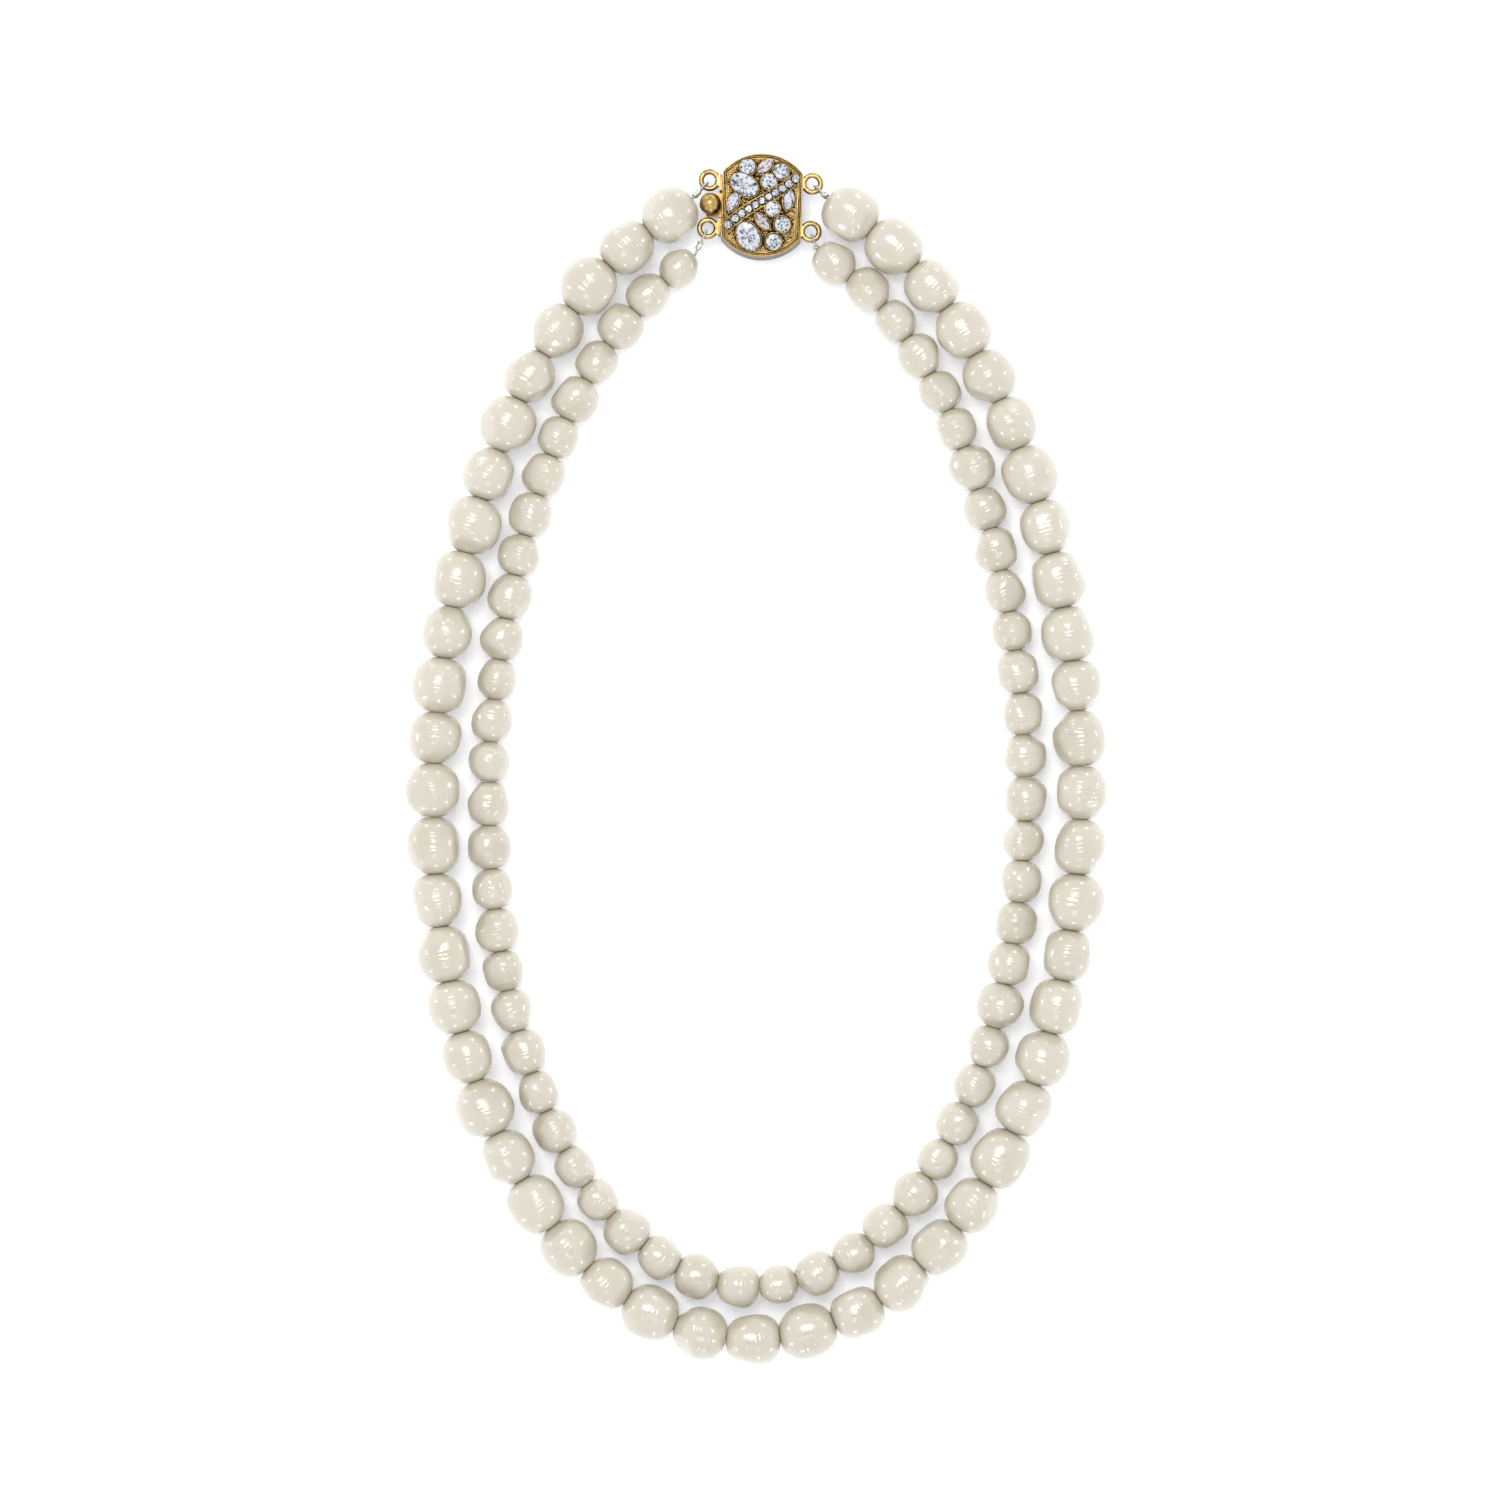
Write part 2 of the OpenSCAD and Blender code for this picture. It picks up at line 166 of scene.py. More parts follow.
def band_faces(one, other, count):
    """Quads between two rings of points that start at one and at other."""
    return [(one + k, other + k, other + (k + 1) % count, one + (k + 1) % count) for k in range(count)]


def unit(vector):
    return vector / np.linalg.norm(vector)


def circle(count):
    """Angles evenly round a circle."""
    return np.linspace(0, 2 * math.pi, count, endpoint=False)


def across(axis):
    """Two unit directions square to an axis; the second is as upright as it can be."""
    axis = np.asarray(axis, float)
    up = np.array([0.0, 0.0, 1.0]) if abs(axis[2]) < 0.9 else np.array([1.0, 0.0, 0.0])
    side = unit(np.cross(axis, up))
    return side, np.cross(side, axis)


def smooth(low, high, value):
    """0 below low, 1 above high, and a soft step between."""
    t = np.clip((value - low) / (high - low), 0, 1)
    return t * t * (3 - 2 * t)


def ridge(away, half_width):
    """The round cross-section of a ridge: 1 on its middle line, 0 at its half width and beyond."""
    return np.clip(1 - (away / half_width) ** 2, 0, 1) ** 0.5


# ---------------- materials


class Nodes:
    """Short ways to add nodes to a material or world, and to link them."""

    def __init__(self, tree):
        self.links, self.new = tree.links, tree.nodes.new
        self.coords = self.new("ShaderNodeTexCoord").outputs

    def feed(self, socket, value):
        """Links an output to a socket, or sets the socket to a plain value."""
        if isinstance(value, bpy.types.NodeSocket):
            self.links.new(value, socket)
        else:
            socket.default_value = value

    def noise(self, scale, detail, roughness=0.5):
        """Cloudy noise over the piece's own space."""
        noise = self.new("ShaderNodeTexNoise")
        for key, value in (("Scale", scale), ("Detail", detail), ("Roughness", roughness),
                           ("Vector", self.coords["Object"])):
            self.feed(noise.inputs[key], value)
        return noise.outputs["Fac"]

    def ramp(self, value, stops):
        """A colour ramp over (position, colour) stops."""
        ramp = self.new("ShaderNodeValToRGB")
        ends = ramp.color_ramp.elements
        for end, (position, color) in ((ends[0], stops[0]), (ends[1], stops[-1])):
            end.position = position
            end.color = (*color, 1)
        for position, color in stops[1:-1]:
            ends.new(position).color = (*color, 1)
        self.feed(ramp.inputs["Fac"], value)
        return ramp.outputs["Color"]

    def mix(self, kind, factor, a, b):
        mix = self.new("ShaderNodeMix")
        mix.data_type = "RGBA"
        mix.blend_type = kind
        for n, value in ((0, factor), (6, a), (7, b)):
            self.feed(mix.inputs[n], value)
        return mix.outputs[2]

    def math(self, operation, *values):
        node = self.new("ShaderNodeMath")
        node.operation = operation
        for socket, value in zip(node.inputs, values):
            self.feed(socket, value)
        return node.outputs[0]

    def attribute(self, name):
        node = self.new("ShaderNodeAttribute")
        node.attribute_name = name
        return node.outputs["Fac"]

    def bump(self, height, distance, under=None):
        bump = self.new("ShaderNodeBump")
        self.feed(bump.inputs["Strength"], 1.0)
        self.feed(bump.inputs["Distance"], distance)
        self.feed(bump.inputs["Height"], height)
        if under is not None:
            self.feed(bump.inputs["Normal"], under)
        return bump.outputs["Normal"]


def new_material(name, **constants):
    """A material with one shader; the constants are set on the shader's own sockets."""
    material = bpy.data.materials.new(name)
    material.use_nodes = True
    tree = material.node_tree
    tree.nodes.clear()
    shader = tree.nodes.new("ShaderNodeBsdfPrincipled")
    output = tree.nodes.new("ShaderNodeOutputMaterial")
    tree.links.new(shader.outputs["BSDF"], output.inputs["Surface"])
    for socket, value in constants.items():
        shader.inputs[socket.replace("_", " ")].default_value = value
    return material, Nodes(tree), shader.inputs


WHITE, BLACK = (1.0, 1.0, 1.0), (0.0, 0.0, 0.0)
# the colour of the painted shade on the pearls
PAINTED_SHADE_TONE = (0.84, 0.81, 0.74)
CREASE_BUMP, GROWTH_BUMP, PEEL_BUMP = 0.12 * MM, 0.03 * MM, 0.04 * MM
CAST_BUMP, WIRE_BUMP = 0.03 * MM, 0.01 * MM


def pearl_material(name, light, dark):
    """Lacquered nacre: a pale cloudy body under a clear, slightly warm coat."""
    material, nodes, inputs = new_material(
        name, Subsurface_Weight=0.15, Subsurface_Scale=1.2 * MM, Subsurface_Radius=(1.0, 0.85, 0.65),
        Coat_Weight=0.9, Coat_Roughness=0.19, Coat_IOR=1.85, Coat_Tint=(0.95, 0.925, 0.84, 1))
    clouds = nodes.noise(scale=150, detail=3)
    body = nodes.ramp(clouds, [(0.3, dark), (0.7, light)])
    # each pearl lies somewhere between its cloudy self and the plain light tone
    body = nodes.mix("MIX", nodes.attribute("tone"), body, (*light, 1))
    # painted shade: the body is darkened round the drill holes, where the neighbours touch, in the dents and
    # inside the holes
    hollow = nodes.ramp(nodes.attribute("hollow"), [(0.0, WHITE), (1.0, PAINTED_SHADE_TONE)])
    nodes.feed(inputs["Base Color"], nodes.mix("MULTIPLY", 1.0, body, hollow))
    speckle = nodes.noise(scale=500, detail=2)
    nodes.feed(inputs["Roughness"], nodes.math("MULTIPLY_ADD", speckle, 0.12, 0.30))
    creased = nodes.attribute("creased")
    creases = nodes.math("MULTIPLY", nodes.noise(scale=900, detail=2, roughness=0.6), creased)
    # fine growth lines run round the drill line where the nacre is creased
    wander = nodes.math("MULTIPLY", nodes.noise(scale=330, detail=2), 9.0)
    lines = nodes.math("SINE", nodes.math("ADD", nodes.attribute("growth"), wander))
    normal = nodes.bump(creases, CREASE_BUMP)
    normal = nodes.bump(nodes.math("MULTIPLY", lines, creased), GROWTH_BUMP, under=normal)
    normal = nodes.bump(nodes.noise(scale=620, detail=1), PEEL_BUMP, under=normal)
    nodes.feed(inputs["Normal"], normal)
    nodes.feed(inputs["Coat Normal"], normal)
    return material


GOLD_BRIGHT, GOLD_SHADOW = (0.49, 0.335, 0.13), (0.035, 0.018, 0.004)
WORN_DULL, WORN_BRIGHT = 0.6, 1.15
STAIN_STRENGTH = 0.85


def gold_material(name, bright=GOLD_BRIGHT, rough=0.24, use_cavity=False):
    """Antique gold plate: warm and polished in patches, browner with stains or dark hollows, and with
    painted shade on faces that stand upright.
    """
    material, nodes, inputs = new_material(name, Metallic=1.0)
    wear = nodes.noise(scale=700, detail=4, roughness=0.6)
    plate = nodes.ramp(wear, [(0.3, tuple(WORN_DULL * c for c in bright)), (0.5, bright),
                              (0.75, tuple(min(1, WORN_BRIGHT * c) for c in bright))])
    if use_cavity:
        # the dark in the hollows, partly patina and partly painted shade, has an uneven edge
        spread = nodes.math("MULTIPLY_ADD", nodes.noise(scale=1500, detail=3), 0.5, -0.25)
        depth = nodes.math("ADD", nodes.attribute("cavity"), spread)
        mask = nodes.ramp(depth, [(0.35, BLACK), (0.75, WHITE)])
        plate = nodes.mix("MIX", mask, plate, (*GOLD_SHADOW, 1))
    else:
        stain = nodes.noise(scale=420, detail=5, roughness=0.65)
        stain = nodes.ramp(stain, [(0.32, (0.45, 0.40, 0.33)), (0.5, WHITE)])
        plate = nodes.mix("MULTIPLY", STAIN_STRENGTH, plate, stain)
    # painted shade: faces that stand upright are painted browner and darker than those that face up or down
    normal = nodes.new("ShaderNodeSeparateXYZ")
    nodes.feed(normal.inputs["Vector"], nodes.coords["Normal"])
    facing = nodes.math("ABSOLUTE", normal.outputs["Z"])
    upright_shade = nodes.ramp(facing, [(0.15, (0.36, 0.31, 0.24)), (0.55, (0.72, 0.69, 0.64)), (0.85, WHITE)])
    nodes.feed(inputs["Base Color"], nodes.mix("MULTIPLY", 1.0, plate, upright_shade))
    smears = nodes.noise(scale=1100, detail=3)
    nodes.feed(inputs["Roughness"], nodes.math("MULTIPLY_ADD", smears, 0.22, rough - 0.08))
    nodes.feed(inputs["Normal"], nodes.bump(nodes.noise(scale=2600, detail=3), CAST_BUMP))
    return material


def silver_material(name, tint, rough):
    """Silver-coloured metal with a little uneven tarnish."""
    material, nodes, inputs = new_material(name, Metallic=1.0)
    tarnish = nodes.noise(scale=900, detail=4, roughness=0.6)
    dull = tuple(0.7 * c for c in tint)
    nodes.feed(inputs["Base Color"], nodes.ramp(tarnish, [(0.3, dull), (0.6, tint)]))
    nodes.feed(inputs["Roughness"], nodes.math("MULTIPLY_ADD", tarnish, 0.15, rough))
    nodes.feed(inputs["Normal"], nodes.bump(nodes.noise(scale=3000, detail=2), WIRE_BUMP))
    return material


def painted_glint_material(name, stops, **constants):
    """Cut glass or foil with painted reflections: each facet gets its own painted shade between dark and
    white, slightly clouded.
    """
    material, nodes, inputs = new_material(name, **constants)
    haze = nodes.noise(scale=700, detail=2)
    haze = nodes.math("MULTIPLY_ADD", haze, 0.3, -0.15)
    shade = nodes.math("ADD", nodes.attribute("facet"), haze)
    nodes.feed(inputs["Base Color"], nodes.ramp(shade, stops))
    return material


def crystal_material(name, tint=WHITE):
    """Cut crystal over a mirror, with painted reflections: some facets are painted white as if throwing the
    light back, some grey or dark.
    """
    stops = [(stop, tuple(c * t for c, t in zip(color, tint))) for stop, color in (
        (0.08, (0.06, 0.07, 0.10)), (0.26, (0.36, 0.40, 0.50)), (0.42, (0.84, 0.87, 0.93)), (0.6, WHITE))]
    return painted_glint_material(name, stops, Roughness=0.02, IOR=1.6, Transmission_Weight=0.5,
                          Coat_Weight=0.3, Coat_Roughness=0.02)


nacre_large = pearl_material("nacre_large", light=(0.575, 0.54, 0.47), dark=(0.53, 0.495, 0.425))
nacre_small = pearl_material("nacre_small", light=(0.565, 0.53, 0.46), dark=(0.52, 0.485, 0.415))
antique_gold = gold_material("antique_gold")
cast_gold = gold_material("cast_gold", use_cavity=True)
shaded_gold = gold_material("shaded_gold", bright=(0.34, 0.22, 0.08), rough=0.32)
polished_gold = gold_material("polished_gold", bright=(0.56, 0.36, 0.13), rough=0.26)
silver_wire = silver_material("silver_wire", (0.78, 0.765, 0.73), 0.18)
crimp_metal = silver_material("crimp_metal", (0.70, 0.67, 0.61), 0.26)
clear_crystal = crystal_material("clear_crystal")
blush_crystal = crystal_material("blush_crystal", (1.0, 0.88, 0.84))
# painted reflections on the foil too: its facets are painted dark, grey-blue or white at random
foil = painted_glint_material("foil", [(0.0, (0.05, 0.06, 0.09)), (0.22, (0.42, 0.46, 0.56)),
                               (0.42, (0.93, 0.95, 0.99)), (1.0, WHITE)], Metallic=0.25, Roughness=0.12)


# ---------------- pearls

# Where the pearls touch: gaps between neighbours, at a flexing point, to the other strand and to the table.
CONTACT, FLEX_CONTACT, STRAND_CONTACT, TABLE_GAP = 0.012 * MM, 0.03 * MM, 0.05 * MM, 0.02 * MM
STRAND_NEAR = 1.4 * MM
SAME_PEARL = 1.0 * MM
RIM_REACH, RIM_FROM = 0.75 * MM, 0.8
FLEX = {j["child"]: math.radians(j["range_deg"][1]) for j in frame["joints"]}
HOLE = 0.42 * MM
HOLE_WALL = 0.75 * HOLE
HOLE_RINGS = 5
HOLE_SHARE = 0.93
LATITUDES, LONGITUDES = 60, 72
FULLNESS = 2.35  # 2 is a plain ball, more is fuller at the shoulders
END_SPARE = 0.26 * MM
TOP_SHARE = 0.97
GROWTH_LINES = 8.0 / MM
WILDNESS = 1.15

# Shape changes, as shares of the pearl's size. Pairs are the least and the most of a random draw.
ANY_PHASE = (0, 6.28)
NECK, SHOULDER = 0.22, 0.5
GROUNDED = 0.8
DENTS, DENT_SIZE, DENT_DEPTH = 8, (0.3, 0.8), (-0.065, 0.035)
SWELLS, SWELL_PITCH, SWELL_DEPTH = 8, (2.5, 5.5), 0.0035
RIPPLES, RIPPLE_PITCH, RIPPLE_DEPTH = 6, (8, 12), 0.0009
CREASE_PATCHES, CREASE_SIZE, CREASE_PITCH, CREASE_DEPTH = (2, 3, 3), (0.16, 0.34), (14, 22), 0.006
CHEEKS, CHEEK_DEPTH, CHEEK_EDGE = (3, 4, 4), (0.02, 0.085), 16
SCATTER, CHEEK_LEAN = 0.4, 0.45
RING_WANDER = 0.3
# how far the painted shade reaches round the drill holes, and how dark it is painted there and in dents
SHADE_FROM, SHADE_REACH, HOLE_SHADE, DENT_SHADE, DENT_GAIN = 0.05, 0.3, 0.55, 0.45, 14


# a pearl's place, drill line, half length, half width and body, from its CAD solid
Pearl = namedtuple("Pearl", "centre axis half width body")


def clockwise(point):
    return math.atan2(point[0], point[1]) % (2 * math.pi)


def from_axis(points, centre, axis):
    """How far along an axis points lie, and how far off it."""
    away = points - centre
    along = away @ axis
    return along, np.linalg.norm(away - along[:, None] * axis, axis=1)


def pearls_of(strand):
    """Every pearl of a strand, clockwise from the clasp, read from the CAD nodes."""
    found = []
    for group in GROUPS:
        for middle, points in solids_of(f"pearls_{strand}_{group}", SAME_PEARL):
            found.append((middle, points, f"{strand}_{group}"))
    found.sort(key=lambda f: clockwise(f[0]))
    pearls = []
    for n, (centre, points, body) in enumerate(found):
        axis = unit(found[min(n + 1, len(found) - 1)][0] - found[max(n - 1, 0)][0])
        # the drill hole's rims lie closest to the axis, so the line through them is the true axis
        for _ in range(3):
            along, radius = from_axis(points, centre, axis)
            rim = (radius < RIM_REACH) & (abs(along) > RIM_FROM * abs(along).max())
            axis = unit(points[rim & (along > 0)].mean(0) - points[rim & (along < 0)].mean(0))
        along, radius = from_axis(points, centre, axis)
        pearls.append(Pearl(centre, axis, abs(along).max(), radius.max(), body))
    return pearls


def planes_between(a, b):
    """Planes that keep neighbouring pearls apart: a list for each, of points, outward ways and gaps."""
    point = (a.centre + a.axis * a.half + b.centre - b.axis * b.half) / 2
    way = unit(a.axis + b.axis)
    if a.body == b.body:
        return [(point, way, CONTACT)], [(point, -way, CONTACT)]
    # the strand flexes here, so the pearl that turns also keeps clear of where it swings to
    swing = FLEX[b.body]
    left = np.array([-way[1], way[0], 0])
    swung = math.cos(swing) * way - math.sin(swing) * left
    return [(point, way, FLEX_CONTACT)], [(point, -way, FLEX_CONTACT), (point, -swung, FLEX_CONTACT)]


def side_planes(pearl, others):
    """Planes that keep a pearl off the pearls of the other strand."""
    planes = []
    for other in others:
        way = other.centre - pearl.centre
        distance = np.linalg.norm(way)
        gap = distance - pearl.half - other.half
        if gap < STRAND_NEAR:
            way = way / distance
            planes.append((pearl.centre + way * (pearl.half + gap / 2), way, STRAND_CONTACT))
    return planes


def random_direction(draw):
    return unit(np.array([draw.gauss(0, 1) for _ in range(3)]))


def bump_at(dirs, towards, size):
    """A soft round patch on the unit ball, 1 in its middle."""
    return np.exp((dirs @ towards - 1) * 2 / size ** 2)


def swells(dirs, draw, count, pitch, depth):
    """Waves in random directions, added up."""
    total = np.zeros(len(dirs))
    for _ in range(count):
        wave = random_direction(draw) * draw.uniform(*pitch)
        total += depth * np.sin(dirs @ wave + draw.uniform(*ANY_PHASE))
    return total


def creases(dirs, draw):
    """Narrow creases where the pearl faces up: their height, and how much each place is creased."""
    height, creased = np.zeros(len(dirs)), np.zeros(len(dirs))
    for _ in range(draw.choice(CREASE_PATCHES)):
        spot = SCATTER * random_direction(draw)
        spot[1] += 1
        patch = bump_at(dirs, unit(spot), draw.uniform(*CREASE_SIZE))
        creased = np.maximum(creased, patch)
        # the creases run round the drill line, like growth rings
        wave = RING_WANDER * random_direction(draw) + np.array([0, 0, 1])
        wave *= draw.uniform(*CREASE_PITCH) / np.linalg.norm(wave)
        height += CREASE_DEPTH * WILDNESS * patch * np.sin(dirs @ wave + draw.uniform(*ANY_PHASE))
    return height, creased


def pearl_surface(pearl, planes, draw, widths):
    """Points of one baroque pearl: outside rows from one drill rim to the other, then the hole."""
    side, up = across(pearl.axis)
    half = pearl.half + END_SPARE
    room = min(pearl.centre[0] - cad_box[0].x, cad_box[1].x - pearl.centre[0],
               pearl.centre[1] - cad_box[0].y, cad_box[1].y - pearl.centre[1])
    width = min(pearl.width * draw.uniform(*widths), room)
    table_reach = pearl.centre[2]
    top_reach = min(width, TOP_SHARE * (cad_box[1].z - pearl.centre[2]))
    rim_angle = math.asin(HOLE / half)
    polar = np.linspace(rim_angle, math.pi - rim_angle, LATITUDES)
    turn = circle(LONGITUDES)
    polar_grid, turn_grid = np.meshgrid(polar, turn, indexing="ij")
    dirs = np.stack([np.sin(polar_grid) * np.cos(turn_grid),
                     np.sin(polar_grid) * np.sin(turn_grid),
                     np.cos(polar_grid)], -1).reshape(-1, 3)
    around, along = np.hypot(dirs[:, 0], dirs[:, 1]), abs(dirs[:, 2])
    # lower side reaches the table, upper side stays under the box, the rest keeps the pearl's own width
    low = np.clip(-dirs[:, 1], 0, 1) ** 2
    high = np.clip(dirs[:, 1], 0, 1) ** 2
    local_width = width * (1 + (table_reach / width - 1) * low + (top_reach / width - 1) * high)
    reach = (((along / half) ** FULLNESS) + ((around / local_width) ** FULLNESS)) ** (-1 / FULLNESS)
    # shape changes fade out near the drill line, where the neighbours touch, and near the table
    free = smooth(NECK, NECK + SHOULDER, around)
    grounded = 1 - GROUNDED * low
    change = np.zeros(len(dirs))
    for _ in range(DENTS):
        towards = random_direction(draw)
        size = draw.uniform(*DENT_SIZE)
        change += draw.uniform(*DENT_DEPTH) * WILDNESS * bump_at(dirs, towards, size)
    change += swells(dirs, draw, SWELLS, SWELL_PITCH, SWELL_DEPTH * WILDNESS)
    change += swells(dirs, draw, RIPPLES, RIPPLE_PITCH, RIPPLE_DEPTH * WILDNESS)
    crease_height, creased = creases(dirs, draw)
    change += crease_height
    scale = 1 + change * free * grounded
    # flattened cheeks: soft cuts that take the roundness off a few sides
    for _ in range(draw.choice(CHEEKS)):
        towards = random_direction(draw)
        towards[1:] *= CHEEK_LEAN
        cut = 1 - draw.uniform(*CHEEK_DEPTH) * WILDNESS
        facing = np.clip(dirs @ unit(towards), 0, 1) * reach / width * scale / cut
        soft = (1 + facing ** CHEEK_EDGE) ** (1 / CHEEK_EDGE)
        scale = scale * (1 + (1 / soft - 1) * free * grounded)
    points = dirs * (reach * scale)[:, None]
    # the drill hole: a small funnel and a straight wall back to the first rim
    last_rim = points[-LONGITUDES:, 2].mean()
    wall = HOLE_WALL * np.column_stack([np.cos(turn), np.sin(turn)])
    hole = [np.column_stack([wall, np.full(LONGITUDES, depth)])
            for depth in last_rim * HOLE_SHARE * np.linspace(1, -1, HOLE_RINGS)]
    points = np.vstack([points, *hole])
    world = pearl.centre + points[:, :1] * side + points[:, 1:2] * up + points[:, 2:] * pearl.axis
    for point, outwards, clearance in planes:
        over = (world - point) @ outwards + clearance
        lean = pearl.axis @ outwards
        step = pearl.axis / lean if lean ** 2 > 0.5 else outwards
        world = world - np.where(over > 0, over, 0)[:, None] * step
    world = np.clip(world, np.array(cad_box[0]) + TABLE_GAP, np.array(cad_box[1]) - TABLE_GAP)
    in_hole = np.zeros(HOLE_RINGS * LONGITUDES)
    # painted shade: darker round the drill hole where the neighbours touch, and in dents; the inside of the
    # hole is fully shaded
    near_hole = np.clip(1 - (around - SHADE_FROM) / SHADE_REACH, 0, 1) ** 2
    dented = np.clip(-change * free * DENT_GAIN, 0, 1)
    hollow = np.clip(HOLE_SHADE * near_hole + DENT_SHADE * dented, 0, 1)
    hollow = np.concatenate([hollow, in_hole + 1])
    growth = GROWTH_LINES * points[:, 2] + draw.uniform(*ANY_PHASE)
    tone = np.full(len(points), draw.random())
    creased = np.concatenate([creased, in_hole])
    return world, {"hollow": hollow, "creased": creased, "growth": growth, "tone": tone}


def build_strand(strand, pearls, others, material, widths):
    """The strand's pearls, one mesh for each group that moves as one body."""
    gathered = {}
    for n, pearl in enumerate(pearls):
        draw = random.Random(f"{strand} pearl {n}")
        planes = []
        if n > 0:
            planes += planes_between(pearls[n - 1], pearl)[1]
        if n < len(pearls) - 1:
            planes += planes_between(pearl, pearls[n + 1])[0]
        planes += side_planes(pearl, others)
        gathered.setdefault(pearl.body, []).append(pearl_surface(pearl, planes, draw, widths))
    for body, surfaces in gathered.items():
        faces, rows = [], LATITUDES + HOLE_RINGS
        for k in range(len(surfaces)):
            faces += grid_faces(rows, LONGITUDES, wrap_rows=True, first=k * rows * LONGITUDES)
        values = {key: np.concatenate([v[key] for _, v in surfaces]) for key in surfaces[0][1]}
        points = np.vstack([p for p, _ in surfaces])
        piece = make_mesh(f"baroque_pearls_{body}", points, faces, material, values=values)
        settle(piece, body, f"pearls_{body}")


outer_pearls, inner_pearls = pearls_of("outer"), pearls_of("inner")
build_strand("outer", outer_pearls, inner_pearls, nacre_large, widths=(1.0, 1.07))
build_strand("inner", inner_pearls, outer_pearls, nacre_small, widths=(1.03, 1.11))


# ---------------- clasp cover

# Sizes on the cover and its stones are millimetres in the clasp's own frame, as the CAD draws it.


def in_clasp(node):
    """A node's corner points in the clasp's own frame."""
    turn = np.array(CLASP_INVERSE.to_3x3())
    return (node_arrays(node)[0] @ turn.T + np.array(CLASP_INVERSE.translation)) / MM


COVER_STEP = 0.085
CASE_TOP = case_high.z / MM
rim_points, cover_points = in_clasp("case_rim"), in_clasp("case_top")
CLASP_R = np.hypot(rim_points[:, 0], rim_points[:, 1]).max()
CLASP_HALF_WIDTH = abs(rim_points[:, 0]).max()
RIM_TOP = rim_points[:, 2].max()
COVER_R = np.hypot(cover_points[:, 0], cover_points[:, 1]).max()
COVER_HALF_WIDTH = abs(cover_points[:, 0]).max()
RIM_WIDTH = CLASP_HALF_WIDTH - COVER_HALF_WIDTH
DOME_RISE = 1.9
DOME_EDGE = 0.35
DOME_R = (COVER_R ** 2 + DOME_RISE ** 2) / (2 * DOME_RISE)
DOME_MIDDLE = CASE_TOP + DOME_EDGE + DOME_RISE - DOME_R
SETTING_HEIGHT = 0.4
CROWN_HEIGHT = 0.3
BEZEL_WIDTH = 0.27
ROW_SLOPE, ROW_CURVE, ROW_RISE = 0.62, 0.003, 0.55
SAME_STONE = 0.9 * MM


def dome_height(x, y):
    return DOME_MIDDLE + np.sqrt(DOME_R ** 2 - x ** 2 - y ** 2)


def clasp_place(points):
    """Clasp-frame millimetres to metres in the row frame."""
    points = np.asarray(points, float) * MM
    turn = np.array(CLASP_FRAME.to_3x3())
    return points @ turn.T + np.array(CLASP_FRAME.translation)


class Stone:
    """A stone on the cover: its middle, turn, half length, half width and outline."""

    def __init__(self, name, middle, turn, length, width, pointed):
        self.name, self.middle, self.turn = name, middle, turn
        self.length, self.width, self.pointed = length, width, pointed

    def distance(self, x, y):
        """About how far outside the outline a place is; negative inside."""
        c, s = math.cos(self.turn), math.sin(self.turn)
        dx, dy = x - self.middle[0], y - self.middle[1]
        u, v = dx * c + dy * s, dy * c - dx * s
        a, b = self.length, self.width
        if self.pointed:
            radius = (a * a + b * b) / (2 * b)
            side = np.hypot(u, abs(v) + radius - b) - radius
            tip = np.hypot(abs(u) - a, v)
            return np.where((abs(u) > a) | (side > tip), tip, side)
        q = np.sqrt((u / a) ** 2 + (v / b) ** 2) + 1e-9
        return (q - 1) * q / np.sqrt((u / a ** 2) ** 2 + (v / b ** 2) ** 2 + 1e-12)

    def outline(self, angles, scale):
        """Points of the outline, shrunk about the middle, on the flat."""
        c, s = np.cos(angles), np.sin(angles)
        if self.pointed:
            s = s * abs(s) ** 0.75
        u, v = scale * self.length * c, scale * self.width * s
        ct, st = math.cos(self.turn), math.sin(self.turn)
        return u * ct - v * st, u * st + v * ct


def stone_from(name, points, pointed):
    """Reads a stone's size and turn from the corner points of its CAD solid."""
    local = np.array([CLASP_INVERSE @ Vector(p) for p in points]) / MM
    flat = local[:, :2]
    middle = (flat.max(0) + flat.min(0)) / 2
    vectors = np.linalg.eigh(np.cov((flat - flat.mean(0)).T))[1]
    length, width = (np.ptp(flat @ vectors[:, n]) / 2 for n in (1, 0))
    turn = math.atan2(vectors[1, 1], vectors[0, 1])
    return Stone(name, middle, turn, length, width, pointed)


def stones_in(node):
    """The separate round stones of a node, left to right."""
    found = []
    for _, points in solids_of(node, SAME_STONE):
        stone = stone_from(node, points, False)
        stone.length = stone.width = (stone.length + stone.width) / 2
        found.append(stone)
    return sorted(found, key=lambda s: s.middle[0])


def node_stone(node, pointed):
    return stone_from(node, node_arrays(node)[0], pointed)


oval_gems = [node_stone("oval_upper", False), node_stone("oval_lower", False)]
navette_gems = [node_stone(f"navette_{n}", True) for n in range(1, 5)]
round_gems = stones_in("round_crystals")
row_gems = stones_in("pave_crystals")
large_gems = oval_gems + navette_gems + round_gems


def blurred(field, reach):
    """A box blur of a grid, repeated to look soft."""
    for _ in range(2):
        for axis in (0, 1):
            wide = np.pad(field, [(reach + 1, reach) if a == axis else (0, 0) for a in (0, 1)], mode="edge")
            total = np.cumsum(wide, axis=axis)
            upper = np.take(total, range(2 * reach + 1, total.shape[axis]), axis=axis)
            lower = np.take(total, range(0, total.shape[axis] - 2 * reach - 1), axis=axis)
            field = (upper - lower) / (2 * reach + 1)
    return field


